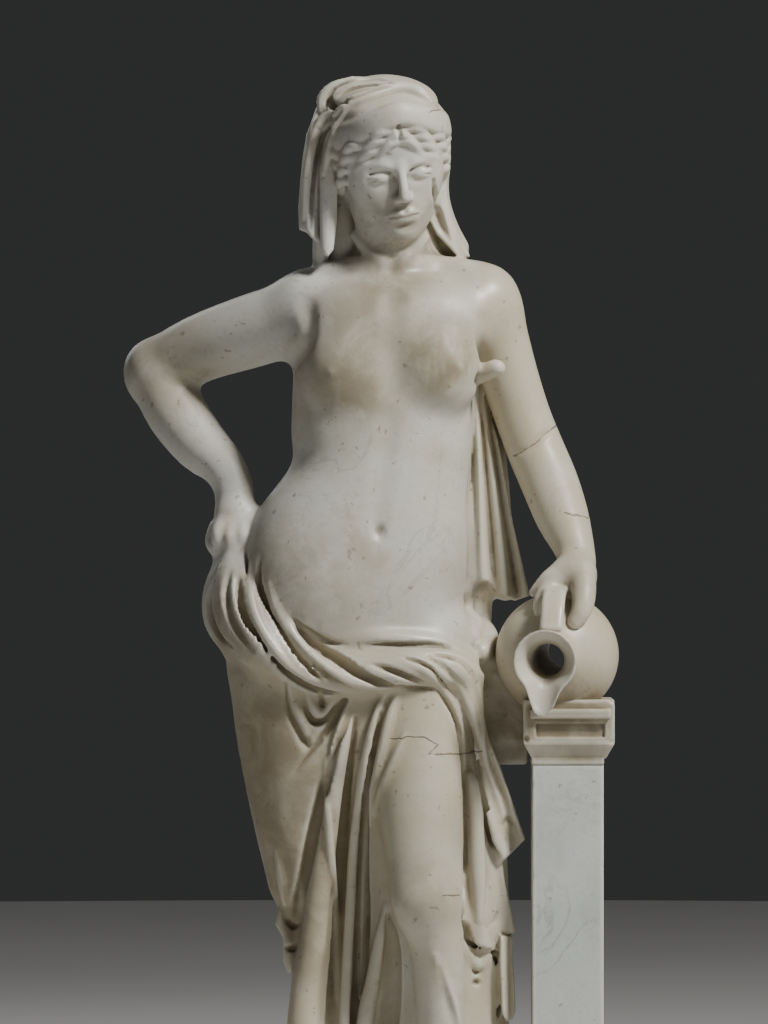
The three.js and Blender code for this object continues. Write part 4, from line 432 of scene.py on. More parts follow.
def hands(c):
    # the hand: back of it, then four fingers and the thumb closed on the cloth
    c.blob([-313, 10, 1092], [33, 24, 36], k=14)
    c.limb([[-332, 0, 1086, 15], [-338, -18, 1070, 12.5], [-338, -14, 1053, 11]], k=7)
    c.limb([[-319, -5, 1084, 15], [-320, -26, 1068, 13], [-320, -22, 1052, 11]], k=6)
    c.limb([[-304, -7, 1085, 15], [-302, -29, 1070, 13], [-302, -24, 1055, 11]], k=6)
    c.limb([[-290, -5, 1090, 13], [-285, -24, 1076, 11], [-284, -20, 1062, 10]], k=6)
    c.limb([[-343, 8, 1082, 12], [-351, 4, 1064, 9.5], [-348, -4, 1052, 8.5], [-341, -4, 1044, 7.5]], k=5)
    # creases at the elbow
    groove(c, [[105, 1192], [130, 1206], [164, 1234]], 5, 2, k=5)
    # the hand laid over the handle: back of it, thumb in front, forefinger to the left
    c.blob([191, -74, 1008], [34, 26, 36], k=14)
    c.limb([[203, -80, 1014, 20], [205, -104, 988, 18.5], [202, -118, 962, 16], [192, -120, 944, 12.5]],
        k=8)
    c.limb([[174, -78, 1016, 18], [156, -86, 1006, 15], [142, -86, 994, 11.5], [132, -84, 986, 8]], k=8)
    c.limb([[166, -88, 1004, 13], [146, -100, 986, 10.5], [138, -104, 968, 8.5], [139, -102, 954, 7.5]],
        k=4)


# Drapery
def skirt_pleats(a, z):
    behind = np.clip((np.abs(a) - 1.45) / 0.6, 0, 1)
    wave = np.sin(a * 13 + 0.9 * np.sin(z / 170.0)) + 0.35 * np.sin(a * 29 + z / 90.0)
    return behind * 7.0 * wave * np.clip((940 - z) / 200, 0, 1)


def skirt(c):
    c.column([
        [88, -66, 6, 184, 124, 132, 2.3],
        [200, -68, 4, 173, 106, 126, 2.3],
        [347, -69, 2, 164, 84, 122, 2.3],
        [414, -68, 2, 160, 80, 120, 2.3],
        [464, -70, 2, 164, 80, 120, 2.3],
        [524, -77, 2, 164, 82, 122, 2.3],
        [581, -88, 2, 168, 84, 124, 2.3],
        [617, -96, 2, 172, 86, 126, 2.3],
        [689, -108, 2, 180, 92, 128, 2.3],
        [764, -125, 2, 181, 98, 128, 2.3],
        [824, -134, 2, 182, 102, 128, 2.3],
        [884, -144, 2, 182, 104, 130, 2.2],
        [956, -150, 4, 164, 90, 124, 2.2],
    ], k=20, cap=14, fold=skirt_pleats)
    # standing thigh under the cloth, then the bent leg
    c.limb([[-218, -4, 900, 88], [-222, -10, 760, 76], [-218, -14, 640, 62], [-214, -10, 560, 50]], k=40)
    c.limb([[-44, -10, 900, 94], [-44, -44, 780, 80], [-40, -72, 680, 70], [-35, -94, 590, 61],
        [-31, -104, 534, 58]], k=14)
    c.limb([[-31, -104, 534, 57], [-15, -100, 470, 42], [-9, -92, 400, 37], [-6, -84, 330, 37],
        [-4, -66, 210, 38], [-4, -56, 120, 42]], k=14)


def side_depth(x, z):
    return -26 - 0.7 * (x + 230) - 6 * np.cos((x + 0.3 * z) * 0.12)


def skirt_folds(c):
    # the open hollow between the knees, then the folds standing in it
    groove(c, [[-150, 700], [-142, 600, 1.3], [-132, 500, 1.5], [-128, 400, 1.6], [-130, 250, 1.6],
        [-135, 130]], 34, 22, k=30)
    # heavy band hanging from the knot, its edge undercut
    ridge(c, [[-140, 826, 0.6], [-154, 770, 0.9], [-168, 690], [-179, 610, 1.1], [-189, 540, 1.2],
        [-196, 480, 1.35], [-206, 400, 1.6], [-212, 300, 1.7], [-214, 150, 1.7]], 15, 19, k=5)
    ridge(c, [[-88, 838, 0.6], [-104, 800, 0.8], [-118, 740], [-129, 670], [-138, 590], [-143, 500],
        [-149, 400], [-152, 300], [-156, 150]], 8, 15, k=4)
    ridge(c, [[-70, 838, 0.7], [-84, 796], [-100, 725], [-111, 672, 0.8], [-114, 640, 0.5]], 8, 9, k=5)
    ridge(c, [[-60, 775, 0.6], [-72, 745], [-92, 700], [-108, 655, 0.5]], 7, 4, k=6)
    ridge(c, [[-88, 520, 0.5], [-96, 470, 1], [-108, 404, 1.2], [-119, 350, 1.3], [-130, 250, 1.3],
        [-138, 140, 1.2]], 10, 17, k=5)
    # undercut furrows beside them
    groove(c, [[-158, 775, 0.6], [-179, 700], [-198, 620, 1.1], [-210, 555, 1.2], [-224, 500, 1],
        [-238, 462, 0.6]], 9, 11, k=4)
    groove(c, [[-132, 800, 0.5], [-144, 730, 0.9], [-152, 650, 1.1], [-158, 560, 1.2], [-163, 470, 1.2],
        [-170, 370, 1.2], [-176, 250, 1.2], [-180, 130, 1]], 8, 13, k=4)
    groove(c, [[-96, 806, 0.6], [-110, 740], [-119, 670, 1.2], [-124, 590, 1.5], [-124, 510, 1.7],
        [-126, 430, 1.5], [-134, 350, 1.2], [-141, 250, 1], [-146, 130, 0.9]], 8, 12, k=4)
    groove(c, [[-86, 505, 0.5], [-78, 460, 1.2], [-78, 400, 1.6], [-82, 340, 1.8], [-92, 240, 1.8],
        [-98, 130, 1.5]], 11, 16, k=6)
    # left side: small flying folds and the torn edge
    c.panel([[-258, 578], [-249, 540], [-249, 512], [-255, 490], [-243, 470], [-243, 436], [-233, 412],
        [-224, 430], [-214, 470], [-204, 520], [-204, 600], [-236, 640]], side_depth, half=17, k=6, r=5)
    groove(c, [[-240, 500, 0.8], [-228, 486, 1], [-216, 492, 0.5]], 5, 9, k=3)
    groove(c, [[-238, 456, 0.8], [-228, 452, 1], [-220, 462, 0.5]], 5, 9, k=3)
    ridge(c, [[-252, 600, 0.4], [-244, 560, 1], [-240, 520, 0.6]], 8, 5, k=6)
    # pulled cloth below the roll, at the left: two v folds and the long drag
    groove(c, [[-238, 852, 0.6], [-232, 818], [-219, 784], [-206, 760, 1], [-198, 752, 0.6]], 6, 7, k=5)
    groove(c, [[-213, 822, 0.5], [-203, 802], [-192, 793, 1.1], [-178, 800], [-164, 812, 1],
        [-148, 826, 0.7]], 6, 9, k=4)
    groove(c, [[-188, 840, 0.7], [-184, 822, 1], [-181, 806, 0.6]], 5, 8, k=3)
    groove(c, [[-150, 828, 1], [-166, 796], [-184, 770, 0.9], [-204, 744, 0.7], [-226, 716, 0.4]],
        5.5, 8, k=4)
    groove(c, [[-136, 824, 1], [-148, 792], [-160, 765, 0.9], [-170, 735, 0.5]], 5.5, 8, k=4)
    ridge(c, [[-232, 850, 0.5], [-222, 815, 1], [-206, 778, 0.8]], 9, 5, k=6)
    ridge(c, [[-206, 838, 0.5], [-196, 815, 1], [-184, 806, 0.8], [-166, 826, 0.5]], 8, 6, k=5)
    # over and beside the bent knee
    groove(c, [[-12, 842, 0.6], [10, 809], [21, 764], [26, 704, 1.1], [27, 600, 1.2], [25, 510, 1.2],
        [30, 478, 1.1], [44, 458, 0.8]], 7, 13, k=3)
    ridge(c, [[18, 836, 0.5], [32, 790, 0.9], [40, 720], [45, 640, 1.1], [48, 560, 1.1], [50, 500, 0.9]],
        11, 11, k=5)
    groove(c, [[22, 826, 0.6], [38, 764], [50, 704, 1.1], [60, 655, 1.1], [70, 614, 1], [80, 588, 0.7]],
        6, 12, k=3)
    # slimmer folds standing in the two deep channels
    ridge(c, [[-180, 770, 0.4], [-174, 640, 0.9], [-166, 520, 1], [-160, 380, 1]], 7, 8, k=4)
    ridge(c, [[-112, 770, 0.4], [-118, 640, 0.9], [-124, 520, 1], [-126, 380, 1]], 7, 8, k=4)


def flap_depth(x, z):
    return -78 + 0.42 * (x - 30) - 5 * np.cos((x - 0.42 * (850 - z)) * 0.13 + 2.6) + (850 - z) * 0.02


def under_depth(x, z):
    return -72 + 0.5 * (x - 24) - 4 * np.cos((x - 0.1 * (600 - z)) * 0.14)


def hem_depth(x, z):
    return -56 + 0.6 * (x - 76) - 4 * np.cos((x - 0.03 * (470 - z)) * 0.3)


def flap(c):
    # the end of the cloak thrown over the roll, hanging to a corner, and what hangs beneath it
    c.limb([[62, -20, 640, 30], [60, -26, 560, 34], [64, -28, 500, 32], [66, -24, 430, 30],
        [68, -16, 370, 30]], k=12)
    c.panel([[24, 720], [22, 560], [23, 505], [27, 482], [37, 464], [52, 458], [70, 452], [82, 449],
        [88, 474], [106, 478], [102, 494], [96, 524], [89, 554], [82, 600], [84, 700]],
        under_depth, half=12, k=4, r=3)
    c.panel([[82, 474], [100, 473], [101, 434], [104, 396], [105, 359], [100, 347], [91, 345], [84, 358],
        [82, 400], [80, 440]], hem_depth, half=12, k=3, r=4)
    c.panel([[14, 862], [56, 862], [58, 800], [66, 764], [82, 726], [100, 674], [110, 644], [120, 617],
        [103, 600], [80, 580], [70, 614], [60, 655], [50, 704], [38, 764], [24, 826]],
        flap_depth, half=13, k=4, r=4)
    ridge(c, [[40, 820, 0.5], [52, 770, 1], [66, 720], [80, 670], [92, 630, 0.6]], 7, 5, k=4)
    groove(c, [[60, 790, 0.4], [70, 730, 1], [88, 680, 1], [100, 640, 0.5]], 5, 5, k=4)
    groove(c, [[84, 638, 0.6], [95, 648, 1], [106, 632, 0.6]], 5, 5, k=4)
    groove(c, [[80, 524, 0.4], [76, 500, 1], [62, 486, 0.5]], 5, 4, k=4)
    groove(c, [[52, 560, 0.4], [56, 530, 1], [62, 515, 0.5]], 5, 4, k=4)
    groove(c, [[74, 446, 0.8], [73, 420, 1.3], [74, 385, 1.4], [80, 352, 1]], 6, 16, k=2)
    groove(c, [[30, 470, 0.8], [40, 459, 1], [60, 454, 1], [80, 446, 0.9]], 5, 13, k=2)
    groove(c, [[86, 476, 0.8], [104, 474, 0.8]], 4, 9, k=2)
    groove(c, [[40, 424, 0.5], [46, 420, 1], [54, 422, 0.4]], 5, 7, k=3)
    groove(c, [[40, 402, 0.5], [46, 404, 1], [52, 402, 0.4]], 5, 7, k=3)
    ridge(c, [[34, 452, 0.5], [48, 430, 1], [62, 440, 0.5]], 8, 5, k=6)
    ridge(c, [[-16, 450, 0.4], [-2, 410, 1], [12, 360, 1.1], [24, 260, 1], [30, 150, 0.8]], 8, 5, k=8)
    groove(c, [[-10, 430, 0.4], [6, 370, 1], [22, 320, 1], [34, 230, 1], [40, 130, 0.8]], 6, 5, k=8)


def roll(c):
    c.limb([[-300, -6, 1044, 30], [-306, -26, 1006, 40], [-298, -52, 960, 47], [-270, -74, 916, 48],
        [-228, -88, 884, 42], [-172, -98, 866, 36], [-112, -106, 868, 32], [-50, -108, 874, 30],
        [0, -98, 874, 27], [28, -76, 868, 24]], k=16)
    c.limb([[-316, 10, 1038, 24], [-334, -2, 988, 28], [-332, -6, 946, 30], [-308, -30, 912, 30]], k=16)
    c.limb([[-160, -96, 916, 14], [-100, -104, 918, 15], [-40, -98, 912, 15], [0, -84, 902, 15],
        [34, -62, 886, 16]], k=10)
    # cloth gathered up into the fist
    c.limb([[-292, -20, 1052, 14], [-288, -34, 1020, 16], [-282, -52, 985, 16]], k=8)
    # round the back: four strands laid side by side, crossing slowly
    for i in range(4):
        points = []
        for j in range(13):
            t = j / 12
            a = np.radians(72 + 216 * t)
            high = 896 + 58 * np.sin(np.pi * t * 0.62) + 40 * t
            twist = i * 1.57 + 1.9 * t
            ring = 1 + 0.10 * np.cos(twist)
            x = -134 + 178 * ring * np.sin(a)
            y = 2 - 118 * ring * np.cos(a)
            points.append([x, y, high + 21 * np.sin(twist), 17 + 9 * np.sin(np.pi * t)])
        c.limb(points, k=4)


def roll_folds(c):
    groove(c, [[-309, 1010, 0.7], [-304, 974], [-294, 944, 1.2], [-276, 922, 1.2], [-250, 888, 1.1],
        [-222, 862], [-190, 845, 1], [-160, 835, 0.7]], 8, 17, k=3)
    groove(c, [[-276, 1040, 0.5], [-275, 1004], [-267, 974, 1.1], [-254, 948, 1.1], [-242, 926, 1],
        [-225, 899], [-203, 874, 0.9], [-185, 858, 0.5]], 6.5, 14, k=3)
    groove(c, [[-222, 944, 0.5], [-212, 922], [-190, 903, 1.2], [-160, 885, 1.3], [-128, 867, 1.2],
        [-98, 855], [-80, 848, 0.7]], 8, 15, k=3)
    groove(c, [[-228, 950, 0.5], [-205, 930, 1], [-175, 913, 1], [-148, 909, 0.5]], 5.5, 8, k=3)
    groove(c, [[-124, 909, 0.5], [-68, 909, 1], [-20, 908, 1], [18, 901, 0.6]], 4.5, 8, k=3)
    groove(c, [[-112, 880, 0.5], [-83, 872, 1], [-53, 861, 1], [-26, 850, 0.6]], 5, 9, k=3)
    groove(c, [[-38, 897, 0.4], [0, 891, 0.9], [22, 884, 1], [38, 864, 1], [52, 838, 0.6]], 4.5, 8, k=3)
    groove(c, [[-90, 850, 0.6], [-55, 846, 1], [-15, 843, 0.8]], 4.5, 8, k=3)
    groove(c, [[-300, 1052, 0.6], [-294, 1025, 1], [-293, 1002, 0.9]], 4.5, 10, k=3)
    groove(c, [[-340, 1026, 0.5], [-352, 985, 1], [-350, 950, 1.1], [-336, 920, 1], [-316, 904, 0.5]],
        6, 9, k=4)
    groove(c, [[-322, 1020, 0.5], [-326, 985, 1], [-320, 952, 1], [-306, 926, 1], [-286, 900, 0.6]],
        6, 8, k=5)
    # secondary ribs on the rolls
    ridge(c, [[-290, 1030, 0.5], [-290, 985, 1], [-281, 950, 1], [-262, 915, 1], [-236, 882, 0.9],
        [-206, 858, 0.5]], 7, 5, k=4)
    ridge(c, [[-262, 1000, 0.4], [-252, 968, 1], [-236, 938, 1], [-212, 904, 1], [-182, 878, 1],
        [-150, 858, 1], [-112, 846, 0.5]], 8, 5, k=5)
    groove(c, [[-236, 930, 0.4], [-215, 898, 1], [-186, 872, 1], [-156, 852, 0.9], [-126, 838, 0.5]],
        4, 5, k=3)
    # the fan at the right where the cloth turns down
    groove(c, [[-68, 892, 0.4], [-40, 882, 0.9], [-20, 868, 1], [4, 838, 1], [22, 802, 0.7],
        [30, 770, 0.4]], 4.5, 8, k=3)
    groove(c, [[-52, 897, 0.4], [-20, 886, 0.9], [4, 868, 1], [26, 842, 1], [44, 808, 0.7],
        [54, 770, 0.4]], 4.5, 7, k=3)
    ridge(c, [[-60, 884, 0.4], [-30, 870, 0.9], [-8, 848, 1], [14, 812, 1], [26, 776, 0.5]], 6, 5, k=3)
    ridge(c, [[-40, 893, 0.4], [-6, 877, 0.9], [18, 850, 1], [36, 818, 1], [48, 776, 0.5]], 6, 4, k=3)
    ridge(c, [[0, 896, 0.4], [26, 878, 1], [44, 850, 1], [54, 815, 0.6]], 7, 4, k=3)


def veil_pleats(a, z):
    broad = 6.0 * np.sin(a * 9 + 0.4 * np.sin(z / 140.0))
    fine = 2.5 * np.sin(a * 21 + z / 160.0)
    return (broad + fine) * np.clip((1700 - z) / 260, 0, 1)


def curtain_depth(x, z):
    u = (x - 44) / (20 + (1300 - z) * 0.2)
    return 26 + 20 * u - 6.5 * np.cos(15.7 * (u - 0.17)) * np.clip((1300 - z) / 120, 0.3, 1)


def veil_curtain(c):
    # veil hanging between the body and the left arm with a cut hem, inner layers beneath it
    c.panel([[42, 1320], [56, 1294], [66, 1262], [80, 1215], [90, 1160], [98, 1110], [107, 1070],
        [116, 1030], [128, 980], [118, 976], [106, 972], [92, 979], [74, 990], [64, 1001], [44, 1003],
        [42, 1100]], curtain_depth, half=11, k=5, r=4)
    c.limb([[40, 74, 1180, 18], [34, 70, 1060, 20], [32, 66, 960, 20], [34, 60, 890, 20]], k=10)
    c.limb([[30, 42, 1010, 9], [33, 40, 940, 10], [38, 36, 845, 11]], k=3)
    c.limb([[46, 54, 1012, 10], [50, 50, 940, 10], [56, 44, 845, 11]], k=3)
    c.limb([[62, 52, 1010, 8], [64, 52, 970, 8], [62, 54, 900, 6]], k=3)
    c.limb([[66, 66, 1020, 16], [84, 60, 1010, 16], [92, 54, 985, 12]], k=8)
    # behind: a broad fall with upright folds
    c.column([
        [978, -20, 66, 128, 44, 60, 2.6],
        [1100, -26, 64, 118, 44, 58, 2.6],
        [1250, -34, 64, 112, 44, 58, 2.6],
        [1400, -52, 62, 110, 46, 60, 2.4],
        [1480, -76, 58, 106, 44, 62, 2.2],
        [1540, -92, 50, 98, 44, 68, 2.1],
        [1610, -98, 42, 98, 46, 82, 2.0],
        [1680, -98, 38, 88, 46, 80, 2.0],
    ], k=14, cap=30, fold=veil_pleats)


# Head
# The head is carved about its own middle, face towards -Y, then turned, nodded and tilted into place.
HEAD = np.array([-84.0, -8.0, 1630.0])
HEAD_TURN = rotation(yaw=13, pitch=18, roll=-8)


def place(row):
    return list(HEAD + HEAD_TURN @ np.asarray(row[:3], float)) + list(row[3:])


def head_blob(c, centre, radii, k=6, cut=False):
    c.blob(place(centre), radii, k=k, turn=HEAD_TURN, cut=cut)


def head_limb(c, points, k=4, cut=False):
    c.limb([place(row) for row in points], k=k, cut=cut)


def head(c):
    head_blob(c, [0, 14, 24], [73, 88, 84], k=14)
    head_blob(c, [0, -22, -20], [60, 62, 77], k=24)
    head_blob(c, [0, -36, 46], [60, 51, 42], k=24)
    for s in [-1, 1]:
        head_blob(c, [s * 31, -46, -27], [32, 30, 38], k=22)
        head_blob(c, [s * 50, -36, 4], [20, 34, 34], k=24)
        head_limb(c, [[s * 51, 0, -42, 16], [s * 37, -32, -69, 16], [s * 12, -61, -86, 15]], k=22)
    head_blob(c, [0, -72, -86], [20, 16, 16], k=16)
    head_blob(c, [0, -72, -58], [32, 18, 24], k=18)


def face(c):
    for s in [-1, 1]:
        head_blob(c, [s * 28, -96, 4], [17, 13, 10], k=20, cut=True)
        head_limb(c, [[s * 9, -80, 14, 5], [s * 27, -80.5, 21, 5], [s * 49, -65, 14, 5]], k=14)
        # lid swelling, the almond cut in it and the eye behind
        head_blob(c, [s * 30, -71.5, 1], [18.5, 13.5, 11.5], k=5)
        head_limb(c, [[s * 16.5, -82, -3, 1.2], [s * 23, -87, -1.4, 2.8], [s * 31, -89, -0.6, 3.6],
            [s * 38, -85, -1.4, 2.8], [s * 45.5, -77, -3.6, 1.2]], k=1.2, cut=True)
        head_blob(c, [s * 30.5, -69.5, -0.5], [14, 13, 10.5], k=0.6)
        head_limb(c, [[s * 15, -81, 8, 1.1], [s * 30, -86.5, 12, 1.6], [s * 45, -76, 7, 1.1]],
            k=4, cut=True)
    head_limb(c, [[0, -76, 28, 7.5], [0, -89.5, 3, 6.6], [0, -98, -16, 7], [0, -101, -27, 8.4]], k=8)
    for s in [-1, 1]:
        head_blob(c, [s * 9, -91, -32], [5.6, 9, 5.6], k=8)
        head_blob(c, [s * 6, -98, -39], [3, 4, 2.2], k=2, cut=True)
    head_limb(c, [[-23, -82, -58.5, 2.6], [-11, -89.5, -54, 4.8], [0, -91, -55, 4.8],
        [11, -89.5, -54, 4.8], [23, -82, -58.5, 2.6]], k=6)
    head_limb(c, [[-17, -83, -64, 3.6], [0, -87.5, -66, 6.2], [17, -83, -64, 3.6]], k=7)
    head_limb(c, [[-22, -86.5, -59.6, 0.8], [-10, -94.5, -59.4, 1.2], [0, -96.4, -60.4, 1.2],
        [10, -94.5, -59.4, 1.2], [22, -86.5, -59.6, 0.8]], k=3, cut=True)
    head_limb(c, [[0, -95, -45, 2.2], [0, -96, -50, 2.8]], k=6, cut=True)
    head_blob(c, [0, -93, -75.5], [13, 5, 4], k=9, cut=True)


def hair(c):
    # a soft cap of hair, then thick waves drawn back from the parting over the ears
    for s in [-1, 1]:
        head_limb(c, [[s * 4, -74, 67, 14], [s * 30, -66, 50, 18], [s * 54, -44, 24, 19],
            [s * 65, -12, 2, 18], [s * 66, 18, -12, 16]], k=8)
        head_limb(c, [[s * 63, -30, 6, 9], [s * 69, -10, -14, 12], [s * 67, 12, -24, 13],
            [s * 60, 28, -28, 10]], k=6)
        for i in range(4):
            u = i / 3
            points = []
            for j in range(15):
                t = j / 14
                a = np.radians(3 + 95 * t)
                wave = np.sin(t * 20 + i * 1.5)
                x = s * (81 + 4 * u + 3 * wave) * np.sin(a)
                y = 4 - (88 + 2 * u + 3 * wave) * np.cos(a)
                z = 57 + 22 * u - (86 - 28 * u) * np.sin(a * 0.9) ** 1.4 + 4.5 * wave
                points.append([x, y, z, 8.8 - 1.6 * np.abs(t - 0.4)])
            head_limb(c, points, k=2)
    head_limb(c, [[0, -93, 64, 2], [0, -95, 72, 3.5], [0, -90, 84, 3]], k=4, cut=True)


def diadem(c):
    # a broad smooth band standing over the hair, lowest behind the ears
    head_blob(c, [3, 6, 88], [76, 86, 34], k=6)
    for i in range(4):
        u = i / 3
        points = []
        for j in range(11):
            a = np.radians(-100 + 20 * j)
            low = np.sin(np.abs(a) * 0.85) ** 1.4
            x = 4 + (83 - 5 * u) * np.sin(a)
            y = 6 - (93 - 9 * u) * np.cos(a)
            points.append([x, y, 88 + 14 * u - (56 - 10 * u) * low, 9 + 2 * u])
        head_limb(c, points, k=9)


def fall_depth(x, z):
    u = (x + 218) / 52
    return -6 + 5 * np.cos(u * 8.6 + 0.5) - 10 * u


def strip_depth(x, z):
    return -30 - 5 * np.cos((x + 176) * 0.13) + (1616 - z) * 0.02


def right_fall_depth(x, z):
    return 16 + (x + 10) * 0.35 - 4 * np.cos((x - 0.25 * (1700 - z)) * 0.16)


def veil(c):
    c.blob([-95, 32, 1652], [101, 96, 105], k=12)
    c.blob([-94, -6, 1673], [92, 82, 85], k=16)
    c.limb([[-136, -24, 1734, 22], [-160, -22, 1724, 21], [-176, -14, 1700, 19], [-186, -10, 1660, 18]],
        k=14)
    # the fall at the left: a flat hanging end with a zigzag hem, its folded strip in front
    c.panel([[-150, 1722], [-190, 1712], [-207, 1672], [-213, 1640], [-217, 1600], [-220, 1560],
        [-219, 1529], [-207, 1524], [-200, 1516], [-190, 1509], [-180, 1500], [-172, 1560], [-166, 1640],
        [-156, 1700]], fall_depth, half=17, k=6, r=5)
    c.panel([[-188, 1617], [-187, 1500], [-181, 1490], [-175, 1487], [-167, 1498], [-162, 1540],
        [-161, 1600], [-164, 1650], [-160, 1700], [-172, 1700], [-182, 1650]],
        strip_depth, half=10, k=2.5, r=5)
    c.limb([[-182, 10, 1560, 16], [-186, 12, 1500, 13], [-188, 14, 1482, 11]], k=6)
    # the fall at the right, behind the neck
    c.limb([[-60, 20, 1728, 26], [-18, 22, 1690, 20], [-12, 30, 1630, 15], [-10, 38, 1580, 15],
        [4, 42, 1535, 16], [20, 44, 1504, 16]], k=12)
    c.panel([[-30, 1700], [0, 1692], [6, 1660], [6, 1630], [4, 1600], [4, 1580], [8, 1560], [12, 1545],
        [20, 1525], [30, 1505], [38, 1490], [20, 1488], [6, 1503], [-12, 1522], [-24, 1545], [-27, 1572],
        [-24, 1620]], right_fall_depth, half=11, k=6, r=5)
    c.limb([[-150, 40, 1580, 26], [-150, 34, 1530, 26], [-152, 34, 1490, 22]], k=12)


def veil_folds(c):
    # the front edge of the veil over the diadem
    ridge(c, [[-166, 1672, 0.7], [-158, 1694], [-140, 1713], [-118, 1721], [-98, 1729], [-76, 1736],
        [-56, 1735], [-40, 1729], [-24, 1716, 0.7]], 11, 9, k=2.5)
    groove(c, [[-156, 1702, 0.6], [-176, 1678, 1], [-190, 1650, 1.1], [-197, 1612, 1], [-200, 1560, 0.8],
        [-202, 1530, 0.5]], 5.5, 8, k=3.5)
    ridge(c, [[-166, 1706, 0.5], [-186, 1690, 1], [-196, 1664, 1.1], [-204, 1630, 1.1], [-208, 1590, 1],
        [-211, 1545, 0.8]], 7, 6, k=3.5)
    ridge(c, [[-170, 1668, 0.5], [-175, 1640, 1], [-181, 1612, 0.8]], 6, 5, k=3)
    # the swirl of gathered cloth at the top
    groove(c, [[-136, 1751, 0.4], [-162, 1741, 1], [-175, 1727, 1.1], [-178, 1712, 0.9]], 4.5, 8, k=3)
    ridge(c, [[-138, 1755, 0.5], [-168, 1742, 1], [-184, 1724, 1.1], [-186, 1706, 0.9]], 7, 6, k=3)
    groove(c, [[-166, 1736, 0.7], [-172, 1720, 1], [-163, 1709, 1], [-146, 1714, 0.6]], 6, 11, k=3)
    groove(c, [[-160, 1726, 0.5], [-138, 1736, 1], [-106, 1742, 1], [-76, 1744, 0.5]], 4, 7, k=2.5)
    groove(c, [[-156, 1713, 0.4], [-136, 1722, 1], [-108, 1733, 1], [-80, 1740, 0.6]], 4, 6, k=2.5)
    groove(c, [[-140, 1748, 0.4], [-112, 1753, 1], [-76, 1748, 0.5]], 4, 5, k=3)
    # hollow of the right fall
    groove(c, [[-18, 1600, 0.4], [-14, 1565, 1], [-6, 1535, 1.1], [8, 1512, 0.7]], 7, 7, k=5)


# Handle, feet and struts
def handle(c):
    for s in [-11, 0, 11]:
        c.limb([[164 + s, -46, 974, 6.5], [163 + s, -84, 986, 6.5], [161 + s, -124, 984, 6.5],
            [158 + s, -152, 966, 6.5], [155 + s, -170, 934, 6.5]], k=8)


def feet(c):
    # toes of both feet under the hem
    for s in [-1, 1]:
        x = -84 + s * 104
        for i in range(4):
            c.limb([[x + s * (i * 17 - 30), -120 + i * 5, 112, 15 - i],
                [x + s * (i * 18 - 31), -146 + i * 9, 104, 12 - i],
                [x + s * (i * 18.5 - 31), -158 + i * 11, 99, 10.5 - i]], k=5)
        c.limb([[x - s * 2, -60, 130, 46], [x - s * 2, -100, 112, 40]], k=14, flat=[[0, 0, 1], 0.75])


def strut(c):
    c.box([76, -6, 786], [48, 34, 58], r=6, k=8)
    c.box([104, -10, 812], [36, 30, 54], r=8, k=8)
    c.box([84, -10, 856], [44, 24, 34], r=12, k=12)
    c.blob([74, -46, 806], [16, 10, 40], k=8, cut=True)
    # broken stub at the arm pit
    c.limb([[44, -36, 1308, 15], [58, -50, 1314, 15], [76, -60, 1321, 14]], k=8, flat=[[0.3, 0, 1], 0.85])


def build(c):
    """The whole carving, in the order in which the shapes lie over one another."""
    torso(c)
    arm_right(c)
    arm_left(c)
    body_lines(c)
    skirt(c)
    c.soften(2)
    veil_curtain(c)
    hands(c)
    flap(c)
    roll(c)
    skirt_folds(c)
    roll_folds(c)
    head(c)
    diadem(c)
    hair(c)
    veil(c)
    veil_folds(c)
    face(c)
    strut(c)
    feet(c)
    handle(c)


# Crisp pieces of the block, and the shaft ---------------------------------------------------------
JUG = np.array([167.0, -44.0, 892.0])
JUG_RADIUS = 92
JUG_YAW = math.radians(-9)
JUG_DIP = -0.05
JUG_ROOM = (JUG + [-108, -165, -108], JUG + [108, 108, 108])
LIP_ANGLE = math.radians(-94)
LIP_REACH = 36
LIP_WIDTH = 0.36


def turned(c, rows, k, cut=False):
    """Round about the jug's axis; rows are (distance ahead, radius, share of the pouring lip)."""
    rows = np.asarray(rows, float)
    sine, cosine = math.sin(JUG_YAW), math.cos(JUG_YAW)

    def depth(x, y, z):
        x, y, z = x - JUG[0], y - JUG[1], z - JUG[2]
        ahead = x * sine - y * cosine + z * JUG_DIP
        aside = x * cosine + y * sine
        above = z - ahead * JUG_DIP
        off = np.arctan2(above, aside) - LIP_ANGLE
        off = np.arctan2(np.sin(off), np.cos(off))
        base = np.interp(ahead, rows[:, 0], rows[:, 1])
        share = np.interp(ahead, rows[:, 0], rows[:, 2])
        wide = base + share * LIP_REACH * np.exp(-((off / LIP_WIDTH) ** 2))
        side = (np.sqrt(aside * aside + above * above) - wide) * 0.8
        ends = np.maximum(ahead - rows[-1, 0], rows[0, 0] - ahead)
        return np.maximum(side, ends)

    reach = np.abs(rows[:, 0]).max() + 70
    c.shape(JUG - reach, JUG + reach, depth, k=k, cut=cut)


def jug(c):
    c.blob(JUG, [JUG_RADIUS] * 3, k=2)
    turned(c, [[60, 48, 0], [84, 43, 0], [100, 38.5, 0], [114, 38, 0.08], [126, 41, 0.4], [135, 46, 0.9],
               [139, 47, 1]], k=7)
    turned(c, [[-130, 24, 0], [102, 24, 0], [112, 26, 0.03], [124, 31, 0.3], [134, 39, 0.85],
               [139.5, 43.5, 1.02], [150, 52, 1.15]], k=2, cut=True)


